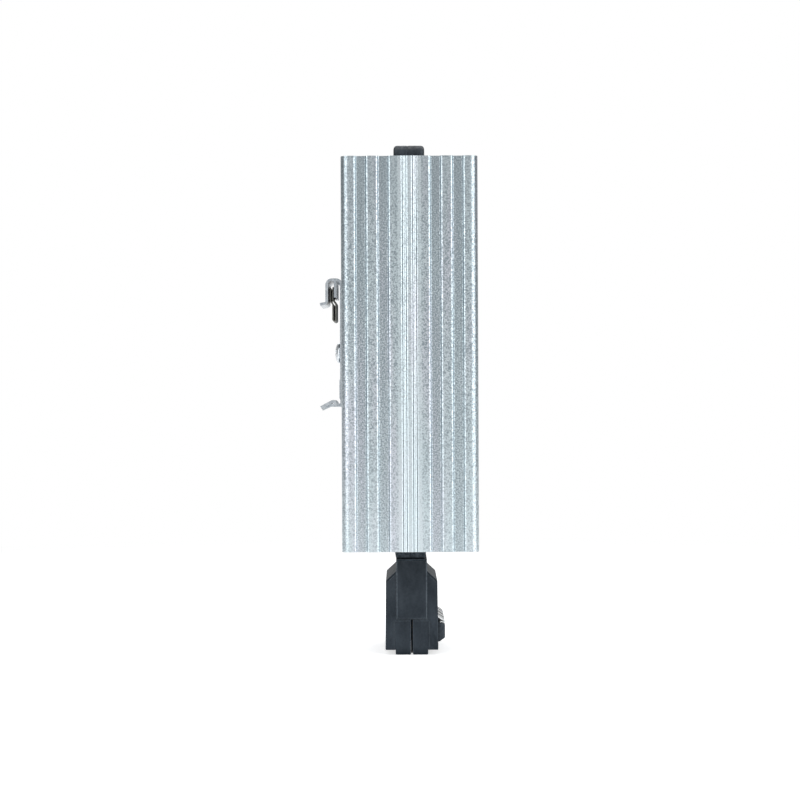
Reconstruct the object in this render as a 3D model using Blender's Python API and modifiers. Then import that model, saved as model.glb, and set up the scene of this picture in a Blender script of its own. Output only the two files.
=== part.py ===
"""A rail-mounted enclosure heater.

An extruded aluminium profile stands on end and holds a flat heating pack in its bore. A black cap
closes the bore at the top, a moulded terminal housing hangs below, and a folded steel clip on the
back hooks onto a 35 mm rail. All sizes are in metres. X runs across the width, +Y points to the
rail behind the heater, and Z points up from the lowest face of the terminal housing.
"""

import math

import bmesh
import bpy
from mathutils import Matrix, Vector

# Clearances and roundness
GAP = 0.0003  # between pieces that touch each other on the real heater
WELD = 0.000001  # points closer than this are one point
ARC_STEP = math.radians(24)  # the turn between two points of a rounded corner
CUT_PAST = 0.002  # how far a cutter runs past the face that it opens
SIDE_USED = 0.98  # the most of one side of an outline that its two rounded ends take up

# Extruded profile
BODY_WIDTH = 0.0700
BODY_DEPTH = 0.0484
BODY_HEIGHT = 0.1400
TUBE_WALL = 0.0022  # in front of and behind the bore
TUBE_END_WALL = 0.0032  # left and right of the bore
BORE_CORNER = 0.0010
WEB_THICKNESS = 0.0036  # between the tube and the side walls
FIN_ROOT = 0.0016
FIN_TIP = 0.0012
FIN_TIP_CORNER = 0.0005
ROOT_FILLET = 0.0006
PAD_GAP_COUNT = 2  # air gaps from the pad to the end of the tube, on each side
WALL_GAP_COUNT = 2  # air gaps from the end of the tube to the side wall
PAD_WIDTH = 0.0240  # flat strip down the middle of the front and of the back
PAD_THICKNESS = 0.0024
SPINE_THICKNESS = 0.0070  # thick rib behind the pad, which takes the clip's screw
PAD_CORNER = 0.0006
DUCT_CORNER = 0.0010

# Side walls of the profile
WALL_THICKNESS = 0.0022
LIP_THICKNESS = 0.0036  # thicker edge at the front and back of each side wall
LIP_DEPTH = 0.0036
LIP_SLOPE = 0.0012
EDGE_RADIUS = 0.0028
GROOVE_DEPTH = 0.0009
GROOVE_CORNER = 0.00015
GROOVE_BEVEL_WIDTH = 0.00045  # sloping edge along each side of a groove
GROOVE_BEVEL_DROP = 0.00018
GROOVE_FOOT_WIDTH = 0.00035  # sloping foot along each side of a groove's floor
GROOVE_FOOT_RISE = 0.00013
INNER_GROOVE_START = 0.00725  # from the middle of the side wall
GROOVE_WIDTH = 0.0040
RIB_WIDTH = 0.0039  # between the two grooves
BEAD_OUTER_AT = 0.00245  # fine lines along the middle of the side wall, from that middle
BEAD_INNER_AT = 0.00116
BEAD_WIDTH = 0.00112  # over the two sloping sides of a line
BEAD_SLOPE_DEPTH = 0.00014
BEAD_SLIT_WIDTH = 0.00026  # narrow slit at the bottom of a line
BEAD_SLIT_DEPTH = 0.00055

# Heating pack inside the bore
STONE_COUNT = 4
STONE_TO_SIDE = 0.0200  # from a stone's edge to the side of the profile
STONE_THICKNESS = 0.0026
STONE_SPACING = 0.0030  # bar of the locating frame between two stones
FRAME_RIM = 0.0037  # plastic beside, above and below the stones
FRAME_THICKNESS = 0.0020
ELECTRODE_THICKNESS = 0.0014
ELECTRODE_MARGIN = 0.0012  # the frame shows this far around each electrode
TAB_WIDTH = 0.0050
TAB_DROP = 0.0060
TAB_INWARD = 0.0005  # from halfway between the middle and the side of the pack
FILM_THICKNESS = 0.0004
FILM_OVERLAP = 0.0030  # the sleeve is longer than the pack by this much at each end
FILM_CORNER = 0.0005
PACK_ABOVE_BASE = 0.0200
PACK_BELOW_PLUG = 0.0050  # from the film's upper end to the plug of the cap

# End cap
CAP_OVER_BORE = 0.0020  # it covers the profile this far beyond each end of the bore
CAP_DEPTH = 0.0111
CAP_RISE = 0.0050
CAP_CORNER = 0.0016
CAP_EDGE = 0.0010  # chamfer around its top
CAP_PLUG_DEPTH = 0.0070
CAP_PLUG_WALL = 0.0012

# Terminal carrier
NECK_HEIGHT = 0.0035
NECK_DEPTH = 0.0115
NECK_OVER_BORE = 0.0012  # beyond each end of the bore
NECK_CORNER = 0.0008
BLOCK_OVER_NECK = 0.0017  # beyond each end of the neck
BLOCK_DEPTH = 0.0112
BLOCK_HEIGHT = 0.0216
BLOCK_EDGE = 0.0005
CARRIER_WALL = 0.0013
CARRIER_ROOF = 0.0020
CARRIER_PLUG_HEIGHT = 0.0080

# Terminal shells
SHELL_SHORTER = 0.0004  # than the block, at each end
SHELL_GAP = 0.0006  # slit between the front and the back shell
SHOULDER_START = 0.0052  # below the top of the block
SHOULDER_HEIGHT = 0.0030
SHOULDER_DEPTH = 0.0185
SHELL_BASE_DEPTH = 0.0190
SHELL_DROP = 0.0109  # below the block
LEG_HEIGHT = 0.0017
LEG_DEPTH = 0.0117
SHELL_CORNER = 0.0004
SHELL_WALL = 0.0016
SHELL_FLOOR = 0.0028

# Spring clamps
CLAMP_COUNT = 4
CLAMP_END_MARGIN = 0.00225  # from the last nose to the end of the shell
NOSE_SPACING = 0.0015  # between two noses
CHAMBER_SIDE = 0.0007  # wall beside the chamber in a nose
NOSE_REACH = 0.00245  # in front of the shell
NOSE_TOP = 0.0011  # below the block
NOSE_FACE = 0.0057
NOSE_CHAMFER = 0.0014
NOSE_WALL = 0.00125
WINDOW_RISE = 0.0036  # above the bottom of the block
ENTRY_BORE = 0.0030
ENTRY_MOUTH = 0.0042
ENTRY_FUNNEL = 0.0016
SPRING_THICKNESS = 0.00045
SPRING_SIDE_PLAY = 0.0006  # between the chamber's side and its spring or contact
SPRING_BEND = 0.0006
CONTACT_THICKNESS = 0.0008
CONTACT_RISE = 0.0090  # above the bottom of the block
CONTACT_LINK = 0.0040  # height of the strap that joins the two earth contacts

# Leads
LEAD_DIAMETER = 0.0016
LEAD_BEND_POINTS = 7
EARTH_STRIP_NARROWER = 0.0004  # than the contact that it starts from
EARTH_STRIP_PLAY = 0.0008  # between the strip and the side of the carrier's passage
EARTH_STRIP_THICKNESS = 0.0005
EARTH_STRIP_BEND = 0.0010
EARTH_STRIP_SLOPE = 0.0030
EARTH_STRIP_FOOT = 0.0050

# Rail clip, measured from the back of the profile and from the edges of the rail
RAIL_HEIGHT = 0.0350
RAIL_PLAY = 0.0008
RAIL_ABOVE_BASE = 0.0703  # middle of the rail above the lower end of the profile
CLIP_WIDTH = 0.0260
CLIP_SHEET = 0.0012
CLIP_BEND = 0.0008
FOLD_RISE = 0.0101  # top of the upper hook
FOLD_REACH = 0.0060  # to the middle of the hook's outer leg
FOLD_BEND = 0.0019
FOOT_REACH = 0.0087
FOOT_HEIGHT = 0.0006
FOOT_BEND = 0.0010
NOTCH_REACH = 0.0026
BUMP_REACH = 0.0034
BUMP_RISE = 0.0012
SEAT_STEP = 0.0003  # the seat of the rail's lower flange stands out from the sheet by this much
SEAT_START = 0.0022  # above the rail's lower edge
SEAT_HEIGHT = 0.0060
SEAT_SLOPE = 0.0008
TIP_REACH = 0.0081
TIP_DROP = 0.0018
LEAF_THICKNESS = 0.00055
LEAF_WIDTH = 0.0180
LEAF_BEND = 0.0006
LEAF_TURN = 0.0010  # between the middles of its first two runs
LEAF_END_RISE = 0.0026
JOG_RISE = 0.0005
JOG_HEIGHT = 0.0015
TONGUE_REACH = 0.00245  # to the middle of its inner side
TONGUE_WIDTH = 0.0014  # between the middles of its two sides
TONGUE_DROP = 0.0062

# Clip screw
SCREW_HEAD = 0.0067
SCREW_HEAD_HEIGHT = 0.0017
SCREW_HEAD_RIM = 0.0006  # height of the straight side of the head
HEAD_ARC_STEPS = 6
SCREW_SHANK = 0.0039
SCREW_LENGTH = 0.0080
SCREW_TIP = 0.0010
RECESS_WIDTH = 0.0011
RECESS_LENGTH = 0.0036
RECESS_DEPTH = 0.0011
ROUND_STEPS = 32

# Finishes: colour, metallic, roughness
BLASTED_ALUMINIUM = ((0.60, 0.64, 0.67), 1.0, 0.42)
PLATED_STEEL = ((0.66, 0.67, 0.66), 1.0, 0.30)
SPRING_STEEL = ((0.36, 0.33, 0.28), 1.0, 0.35)
NICKEL = ((0.72, 0.72, 0.70), 1.0, 0.22)
BRASS = ((0.78, 0.58, 0.26), 1.0, 0.35)
BLACK_NYLON = ((0.030, 0.034, 0.040), 0.0, 0.50)
STONE_GREY = ((0.16, 0.15, 0.14), 0.0, 0.70)
NATURAL_NYLON = ((0.72, 0.69, 0.60), 0.0, 0.50)
AMBER_FILM = ((0.62, 0.30, 0.06), 0.0, 0.30)
ROLLED_ALUMINIUM = ((0.75, 0.76, 0.77), 1.0, 0.30)
BROWN_LEAD = ((0.16, 0.06, 0.03), 0.0, 0.45)
BLUE_LEAD = ((0.03, 0.12, 0.42), 0.0, 0.45)

# Sizes and heights that follow from those above
STONE_WIDTH = BODY_WIDTH - 2 * STONE_TO_SIDE
PACK_HEIGHT = BODY_HEIGHT - PACK_ABOVE_BASE - FILM_OVERLAP - PACK_BELOW_PLUG - CAP_PLUG_DEPTH
STONES_HEIGHT = PACK_HEIGHT - 2 * FRAME_RIM - 2 * GAP
STONE_HEIGHT = (STONES_HEIGHT + STONE_SPACING) / STONE_COUNT - STONE_SPACING
PACK_WIDTH = STONE_WIDTH + 2 * FRAME_RIM + 2 * GAP
PACK_DEPTH = STONE_THICKNESS + 2 * ELECTRODE_THICKNESS + 2 * GAP
SLEEVE_WIDTH = PACK_WIDTH + 2 * FILM_THICKNESS + 2 * GAP
SLEEVE_DEPTH = PACK_DEPTH + 2 * FILM_THICKNESS + 2 * GAP
BORE_WIDTH = SLEEVE_WIDTH + 2 * GAP
BORE_DEPTH = SLEEVE_DEPTH + 2 * GAP
TUBE_WIDTH = BORE_WIDTH + 2 * TUBE_END_WALL
TUBE_DEPTH = BORE_DEPTH + 2 * TUBE_WALL
CAP_WIDTH = BORE_WIDTH + 2 * CAP_OVER_BORE
NECK_WIDTH = BORE_WIDTH + 2 * NECK_OVER_BORE
BLOCK_WIDTH = NECK_WIDTH + 2 * BLOCK_OVER_NECK
SHELL_WIDTH = BLOCK_WIDTH - 2 * SHELL_SHORTER
CLAMP_PITCH = (SHELL_WIDTH - 2 * CLAMP_END_MARGIN + NOSE_SPACING) / CLAMP_COUNT
NOSE_WIDTH = CLAMP_PITCH - NOSE_SPACING
CHAMBER_WIDTH = NOSE_WIDTH - 2 * CHAMBER_SIDE
SPRING_WIDTH = CHAMBER_WIDTH - 2 * SPRING_SIDE_PLAY
CONTACT_WIDTH = SPRING_WIDTH
TAB_FROM_MIDDLE = PACK_WIDTH / 4 - TAB_INWARD
PASSAGE_WIDTH = BORE_WIDTH - 2 * GAP - 2 * CARRIER_WALL
EARTH_STRIP_WIDTH = CONTACT_WIDTH - EARTH_STRIP_NARROWER

SHELL_BASE = LEG_HEIGHT
BLOCK_BASE = SHELL_BASE + SHELL_DROP
BLOCK_TOP = BLOCK_BASE + BLOCK_HEIGHT
BODY_BASE = BLOCK_TOP + NECK_HEIGHT
BODY_TOP = BODY_BASE + BODY_HEIGHT
BACK = BODY_DEPTH / 2
RAIL_MIDDLE = BODY_BASE + RAIL_ABOVE_BASE
RAIL_UPPER_EDGE = RAIL_MIDDLE + (RAIL_HEIGHT + RAIL_PLAY) / 2
RAIL_LOWER_EDGE = RAIL_MIDDLE - (RAIL_HEIGHT + RAIL_PLAY) / 2

# Turns that lay an outline, drawn flat with X across and Y up, into the heater
SEEN_FROM_ABOVE = (0.0, 0.0, 0.0)
SEEN_FROM_SIDE = (math.pi / 2, 0.0, math.pi / 2)  # across is Y, up is Z, drawn out along X
SEEN_FROM_FRONT = (math.pi / 2, 0.0, 0.0)  # across is X, up is Z, drawn out along Y

for old in list(bpy.data.objects):
    bpy.data.objects.remove(old)

heater = bpy.data.collections.new("enclosure_heater")
cutters = bpy.data.collections.new("enclosure_heater_cutters")
bpy.context.scene.collection.children.link(heater)
bpy.context.scene.collection.children.link(cutters)

# The clip stands out behind the profile, so everything moves forward by half of that.
frame = bpy.data.objects.new("heater_frame", None)
frame.location = (0.0, -FOOT_REACH / 2, 0.0)
heater.objects.link(frame)


def fillet(before, corner, after, radius, shares):
    """Points of the arc that rounds one corner, no longer than its shares of the two sides."""
    back = before - corner
    on = after - corner
    half = back.angle(on) / 2
    if radius <= 0.0 or half > math.pi / 2 - 0.01:
        return [corner]
    reach = min(radius / math.tan(half), shares[0] * back.length, shares[1] * on.length)
    radius = reach * math.tan(half)
    middle = corner + (back.normalized() + on.normalized()).normalized() * radius / math.sin(half)
    start = corner + back.normalized() * reach - middle
    sweep = math.pi - 2 * half
    if back.x * on.y - back.y * on.x > 0:
        sweep = -sweep
    steps = max(2, round(abs(sweep) / ARC_STEP))
    turns = [Matrix.Rotation(sweep * step / steps, 2) for step in range(steps + 1)]
    return [middle + turn @ start for turn in turns]


def rounded(corners, closed=True):
    """The points of an outline given as corners (across, up, radius).

    Two corners share the side between them in step with their radii.
    """
    spots = [Vector(corner[:2]) for corner in corners]
    radii = [corner[2] for corner in corners]
    points = []
    for index, spot in enumerate(spots):
        radius = radii[index]
        after = (index + 1) % len(spots)
        if radius == 0.0 or (not closed and index in (0, len(spots) - 1)):
            points.append(spot)
            continue
        shares = [SIDE_USED * radius / (radius + other) for other in (radii[index - 1], radii[after])]
        points += fillet(spots[index - 1], spot, spots[after], radius, shares)
    return points


def box_outline(width, height, radius, middle=(0.0, 0.0)):
    """A rectangle with rounded corners, about its middle."""
    across, up = middle
    corners = [(-1, -1), (1, -1), (1, 1), (-1, 1)]
    return rounded([(across + x * width / 2, up + y * height / 2, radius) for x, y in corners])


def as_mesh(drawn, name):
    """The mesh of a curve object, with its caps welded on, in the curve's place."""
    bpy.context.view_layer.update()
    evaluated = drawn.evaluated_get(bpy.context.evaluated_depsgraph_get())
    mesh = bpy.data.meshes.new_from_object(evaluated)
    mesh.name = name
    shape = bmesh.new()
    shape.from_mesh(mesh)
    bmesh.ops.remove_doubles(shape, verts=shape.verts, dist=WELD)
    ends = [face for face in shape.faces if len({round(corner.co.z / WELD) for corner in face.verts}) == 1]
    inner = [edge for edge in shape.edges if sum(face in ends for face in edge.link_faces) == 2]
    bmesh.ops.beautify_fill(shape, faces=ends, edges=inner)
    shape.to_mesh(mesh)
    shape.free()
    solid = bpy.data.objects.new(name, mesh)
    solid.matrix_world = drawn.matrix_world
    bpy.data.objects.remove(drawn)
    return solid


def draw(name, outlines, length, turn, middle, closed=True):
    """Draws flat outlines out along their normal, by half the length to each side."""
    curve = bpy.data.curves.new(name, "CURVE")
    curve.dimensions = "2D"
    curve.fill_mode = "BOTH" if closed else "NONE"
    curve.extrude = length / 2
    for outline in outlines:
        spline = curve.splines.new("POLY")
        spline.points.add(len(outline) - 1)
        for point, spot in zip(spline.points, outline):
            point.co = (spot[0], spot[1], 0.0, 1.0)
        spline.use_cyclic_u = closed
    drawn = bpy.data.objects.new(name + "_outline", curve)
    bpy.context.scene.collection.objects.link(drawn)
    drawn.rotation_euler = turn
    drawn.location = middle
    return as_mesh(drawn, name)


def bent_strip(name, path, thickness, width, middle=(0.0, 0.0, 0.0)):
    """A strip of sheet metal bent along a path that is seen from the side."""
    strip = draw(name, [rounded(path, closed=False)], width, SEEN_FROM_SIDE, middle, closed=False)
    sheet = strip.modifiers.new("sheet", "SOLIDIFY")
    sheet.thickness = thickness
    sheet.offset = 0.0
    sheet.use_even_offset = True
    return strip


def turned(name, profile, turn, middle):
    """A solid of revolution. Its profile runs from the axis at the top, down the outer side."""
    mesh = bpy.data.meshes.new(name)
    edges = [(index, index + 1) for index in range(len(profile) - 1)]
    mesh.from_pydata([(radius, 0.0, height) for radius, height in profile], edges, [])
    solid = bpy.data.objects.new(name, mesh)
    solid.rotation_euler = turn
    solid.location = middle
    sweep = solid.modifiers.new("sweep", "SCREW")
    sweep.steps = ROUND_STEPS
    sweep.render_steps = ROUND_STEPS
    sweep.use_merge_vertices = True
    sweep.merge_threshold = 0.00001
    return solid


def block(name, low, high):
    """A box between two corners."""
    mesh = bpy.data.meshes.new(name)
    shape = bmesh.new()
    size = [b - a for a, b in zip(low, high)]
    bmesh.ops.create_cube(shape, size=1.0, matrix=Matrix.Diagonal((*size, 1.0)))
    shape.to_mesh(mesh)
    shape.free()
    solid = bpy.data.objects.new(name, mesh)
    solid.location = [(a + b) / 2 for a, b in zip(low, high)]
    return solid


def keep(solid, finish):
    """Makes a solid one of the heater's pieces, in its own finish."""
    colour, metallic, roughness = finish
    material = bpy.data.materials.new(solid.name)
    material.use_nodes = True
    shader = material.node_tree.nodes["Principled BSDF"]
    shader.inputs["Base Color"].default_value = (*colour, 1.0)
    shader.inputs["Metallic"].default_value = metallic
    shader.inputs["Roughness"].default_value = roughness
    solid.data.materials.append(material)
    solid.parent = frame
    heater.objects.link(solid)
    return solid


def combine(solid, other, operation):
    """Cuts another solid from this one, or joins it on."""
    other.hide_render = True
    other.display_type = "WIRE"
    other.parent = frame
    cutters.objects.link(other)
    step = solid.modifiers.new(other.name, "BOOLEAN")
    step.operation = operation
    step.solver = "EXACT"
    step.object = other


# Extruded profile


def channel_corners(left, right, count, floor):
    """Corners of a run of air gaps between two fins' root faces, from left to right."""
    gap = (right - left - (count - 1) * FIN_ROOT) / count
    taper = (FIN_ROOT - FIN_TIP) / 2
    corners = []
    for index in range(count):
        start = left + index * (gap + FIN_ROOT)
        end = start + gap
        if index:
            corners.append((start - taper, BACK, FIN_TIP_CORNER))
        corners.append((start, floor, ROOT_FILLET))
        corners.append((end, floor, ROOT_FILLET))
        if index < count - 1:
            corners.append((end + taper, BACK, FIN_TIP_CORNER))
    return corners


def groove_corners(face, start, end):
    """A flat-bottomed groove in the side wall, from its far edge to its near edge."""
    floor = face - GROOVE_DEPTH
    shoulder = face - GROOVE_BEVEL_DROP
    foot = floor + GROOVE_FOOT_RISE
    levels = [(face, end + GROOVE_BEVEL_WIDTH), (shoulder, end), (foot, end)]
    levels += [(floor, end - GROOVE_FOOT_WIDTH), (floor, start + GROOVE_FOOT_WIDTH)]
    levels += [(foot, start), (shoulder, start), (face, start - GROOVE_BEVEL_WIDTH)]
    return [(across, up, GROOVE_CORNER) for across, up in levels]


def bead_corners(face, middle):
    """A fine line in the side wall: two sloping sides with a narrow slit between them."""
    half = BEAD_WIDTH / 2
    slit = BEAD_SLIT_WIDTH / 2
    slope = face - BEAD_SLOPE_DEPTH
    corners = [(face, middle + half, 0), (slope, middle + slit, 0)]
    corners.append((face - BEAD_SLIT_DEPTH, middle, 0))
    corners += [(slope, middle - slit, 0), (face, middle - half, 0)]
    return corners


def quarter_section():
    """Corners of a quarter of the section, from the middle of the back to the middle of a side."""
    face = BODY_WIDTH / 2
    inside = face - WALL_THICKNESS
    lip = face - LIP_THICKNESS
    lip_end = BACK - LIP_DEPTH
    tube_end = TUBE_WIDTH / 2
    corners = [(PAD_WIDTH / 2, BACK, PAD_CORNER)]
    corners += channel_corners(PAD_WIDTH / 2, tube_end - FIN_ROOT, PAD_GAP_COUNT, TUBE_DEPTH / 2)
    corners.append((tube_end - FIN_ROOT + (FIN_ROOT - FIN_TIP) / 2, BACK, FIN_TIP_CORNER))
    corners.append((tube_end - (FIN_ROOT - FIN_TIP) / 2, BACK, FIN_TIP_CORNER))
    corners += channel_corners(tube_end, inside, WALL_GAP_COUNT, WEB_THICKNESS / 2)
    corners += [(inside, lip_end - LIP_SLOPE, ROOT_FILLET), (lip, lip_end, ROOT_FILLET)]
    corners += [(lip, BACK, FIN_TIP_CORNER), (face, BACK, EDGE_RADIUS)]
    inner_end = INNER_GROOVE_START + GROOVE_WIDTH
    outer_start = inner_end + RIB_WIDTH
    corners += groove_corners(face, outer_start, outer_start + GROOVE_WIDTH)
    corners += groove_corners(face, INNER_GROOVE_START, inner_end)
    corners += bead_corners(face, BEAD_OUTER_AT)
    corners += bead_corners(face, BEAD_INNER_AT)
    return corners


def make_profile():
    quarter = quarter_section()
    section = list(quarter)
    section += [(x, -y, radius) for x, y, radius in reversed(quarter)]
    section += [(-x, -y, radius) for x, y, radius in quarter]
    section += [(-x, y, radius) for x, y, radius in reversed(quarter)]
    duct_left = SPINE_THICKNESS / 2
    duct_right = PAD_WIDTH / 2 - FIN_ROOT
    duct_low = TUBE_DEPTH / 2
    duct_high = BACK - PAD_THICKNESS
    duct_x = (duct_left + duct_right) / 2
    duct_y = (duct_low + duct_high) / 2
    holes = [box_outline(BORE_WIDTH, BORE_DEPTH, BORE_CORNER)]
    for x in (-duct_x, duct_x):
        for y in (-duct_y, duct_y):
            holes.append(box_outline(duct_right - duct_left, duct_high - duct_low, DUCT_CORNER, (x, y)))
    middle = (0.0, 0.0, BODY_BASE + BODY_HEIGHT / 2)
    profile = draw("heatsink_profile", [rounded(section), *holes], BODY_HEIGHT, SEEN_FROM_ABOVE, middle)
    depth = SCREW_LENGTH + SCREW_TIP - CLIP_SHEET - GAP
    radius = SCREW_SHANK / 2 + GAP
    hole = [(0.0, CUT_PAST), (radius, CUT_PAST), (radius, -depth), (0.0, -depth)]
    drill = turned("clip_screw_hole", hole, (-math.pi / 2, 0.0, 0.0), (0.0, BACK, RAIL_MIDDLE))
    combine(profile, drill, "DIFFERENCE")
    keep(profile, BLASTED_ALUMINIUM)


# Heating pack


def make_pack():
    low = BODY_BASE + PACK_ABOVE_BASE
    middle = low + PACK_HEIGHT / 2
    window_width = STONE_WIDTH + 2 * GAP
    pitch = STONE_HEIGHT + STONE_SPACING
    first = -(STONE_COUNT - 1) * pitch / 2
    windows = []
    for index in range(STONE_COUNT):
        height = first + index * pitch
        windows.append(box_outline(window_width, STONE_HEIGHT + 2 * GAP, 0.0, (0.0, height)))
        size = (STONE_WIDTH / 2, STONE_THICKNESS / 2, STONE_HEIGHT / 2)
        stone = block(f"heating_stone_{index + 1}", [-half for half in size], size)
        stone.location.z = middle + height
        keep(stone, STONE_GREY)
    rim = box_outline(PACK_WIDTH, PACK_HEIGHT, 0.0)
    locator = draw(
        "stone_locating_frame", [rim, *windows], FRAME_THICKNESS, SEEN_FROM_FRONT, (0.0, 0.0, middle)
    )
    keep(locator, NATURAL_NYLON)
    plate_right = PACK_WIDTH / 2 - ELECTRODE_MARGIN
    plate_top = PACK_HEIGHT / 2 - ELECTRODE_MARGIN
    for name, side in (("electrode_front", -1), ("electrode_back", 1)):
        tab_left = side * TAB_FROM_MIDDLE - TAB_WIDTH / 2
        tab_right = tab_left + TAB_WIDTH
        corners = [
            (-plate_right, plate_top),
            (-plate_right, -plate_top),
            (tab_left, -plate_top),
            (tab_left, -plate_top - TAB_DROP),
            (tab_right, -plate_top - TAB_DROP),
            (tab_right, -plate_top),
            (plate_right, -plate_top),
            (plate_right, plate_top),
        ]
        place = side * (STONE_THICKNESS / 2 + GAP + ELECTRODE_THICKNESS / 2)
        plate = draw(name, [corners], ELECTRODE_THICKNESS, SEEN_FROM_FRONT, (0.0, place, middle))
        keep(plate, ROLLED_ALUMINIUM)
    outside = box_outline(SLEEVE_WIDTH, SLEEVE_DEPTH, FILM_CORNER)
    inside = box_outline(SLEEVE_WIDTH - 2 * FILM_THICKNESS, SLEEVE_DEPTH - 2 * FILM_THICKNESS, 0.0)
    length = PACK_HEIGHT + 2 * FILM_OVERLAP
    sleeve = draw("insulating_sleeve", [outside, inside], length, SEEN_FROM_ABOVE, (0.0, 0.0, middle))
    keep(sleeve, AMBER_FILM)


# End cap


def chamfered(width, low, high):
    """A rectangle seen from the side, standing on low, with its two top corners cut off."""
    half = width / 2
    shoulder = high - CAP_EDGE
    top = half - CAP_EDGE
    return [(-half, low), (half, low), (half, shoulder), (top, high), (-top, high), (-half, shoulder)]


def make_cap():
    low = BODY_TOP + GAP
    high = BODY_TOP + CAP_RISE
    outline = box_outline(CAP_WIDTH, CAP_DEPTH, CAP_CORNER)
    cap = draw("end_cap", [outline], high - low, SEEN_FROM_ABOVE, (0.0, 0.0, (high + low) / 2))
    for name, width, other, turn in (
        ("end_cap_long_edges", CAP_DEPTH, CAP_WIDTH, SEEN_FROM_SIDE),
        ("end_cap_short_edges", CAP_WIDTH, CAP_DEPTH, SEEN_FROM_FRONT),
    ):
        outline = chamfered(width, low - CUT_PAST, high)
        edges = draw(name, [outline], other + CUT_PAST, turn, (0.0, 0.0, 0.0))
        combine(cap, edges, "INTERSECT")
    plug_outside = box_outline(BORE_WIDTH - 2 * GAP, BORE_DEPTH - 2 * GAP, BORE_CORNER)
    plug_inside = box_outline(
        BORE_WIDTH - 2 * GAP - 2 * CAP_PLUG_WALL, BORE_DEPTH - 2 * GAP - 2 * CAP_PLUG_WALL, 0.0
    )
    plug_low = BODY_TOP - CAP_PLUG_DEPTH
    plug_high = low + CAP_EDGE
    plug = draw(
        "end_cap_plug",
        [plug_outside, plug_inside],
        plug_high - plug_low,
        SEEN_FROM_ABOVE,
        (0.0, 0.0, (plug_high + plug_low) / 2),
    )
    combine(cap, plug, "UNION")
    keep(cap, BLACK_NYLON)


# Terminal carrier


def make_carrier():
    end = BLOCK_WIDTH / 2
    side = [
        (-end, BLOCK_BASE + BLOCK_EDGE),
        (BLOCK_EDGE - end, BLOCK_BASE),
        (end - BLOCK_EDGE, BLOCK_BASE),
        (end, BLOCK_BASE + BLOCK_EDGE),
        (end, BLOCK_TOP - BLOCK_EDGE),
        (end - BLOCK_EDGE, BLOCK_TOP),
        (BLOCK_EDGE - end, BLOCK_TOP),
        (-end, BLOCK_TOP - BLOCK_EDGE),
    ]
    carrier = draw("terminal_carrier", [side], BLOCK_DEPTH, SEEN_FROM_FRONT, (0.0, 0.0, 0.0))
    neck_low = BLOCK_TOP - CARRIER_ROOF / 2
    neck_high = BODY_BASE - GAP
    neck = draw(
        "carrier_neck",
        [box_outline(NECK_WIDTH, NECK_DEPTH, NECK_CORNER)],
        neck_high - neck_low,
        SEEN_FROM_ABOVE,
        (0.0, 0.0, (neck_high + neck_low) / 2),
    )
    combine(carrier, neck, "UNION")
    plug_width = BORE_WIDTH - 2 * GAP
    plug_depth = BORE_DEPTH - 2 * GAP
    plug_high = BODY_BASE + CARRIER_PLUG_HEIGHT
    plug = draw(
        "carrier_plug",
        [box_outline(plug_width, plug_depth, BORE_CORNER)],
        plug_high - neck_low,
        SEEN_FROM_ABOVE,
        (0.0, 0.0, (plug_high + neck_low) / 2),
    )
    combine(carrier, plug, "UNION")
    hollow_x = end - CARRIER_WALL - (BLOCK_WIDTH - SHELL_WIDTH) / 2
    hollow_y = BLOCK_DEPTH / 2 - CARRIER_WALL
    hollow = block(
        "carrier_hollow",
        (-hollow_x, -hollow_y, BLOCK_BASE - CUT_PAST),
        (hollow_x, hollow_y, BLOCK_TOP - CARRIER_ROOF),
    )
    combine(carrier, hollow, "DIFFERENCE")
    passage_x = PASSAGE_WIDTH / 2
    passage_y = plug_depth / 2 - CARRIER_WALL
    passage = block(
        "carrier_passage",
        (-passage_x, -passage_y, BLOCK_TOP - CARRIER_ROOF - CUT_PAST),
        (passage_x, passage_y, plug_high + CUT_PAST),
    )
    combine(carrier, passage, "DIFFERENCE")
    keep(carrier, BLACK_NYLON)


# Terminal shells


def clamp_places():
    return [(index - (CLAMP_COUNT - 1) / 2) * CLAMP_PITCH for index in range(CLAMP_COUNT)]


def shell_outline(side):
    """Half of the housing seen from the end. Side is -1 at the front and 1 at the back."""
    slit = SHELL_GAP / 2
    ledge = BLOCK_DEPTH / 2 + GAP
    ledge_height = BLOCK_BASE - GAP
    shoulder = BLOCK_TOP - SHOULDER_START
    corners = [
        (slit, 0.0, SHELL_CORNER),
        (LEG_DEPTH / 2, 0.0, SHELL_CORNER),
        (LEG_DEPTH / 2, SHELL_BASE, 0.0),
        (SHELL_BASE_DEPTH / 2, SHELL_BASE, SHELL_CORNER),
        (SHOULDER_DEPTH / 2, shoulder - SHOULDER_HEIGHT, SHELL_CORNER),
        (ledge, shoulder, 0.0),
        (ledge, ledge_height, 0.0),
        (slit, ledge_height, 0.0),
    ]
    return rounded([(side * across, up, radius) for across, up, radius in corners])


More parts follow.
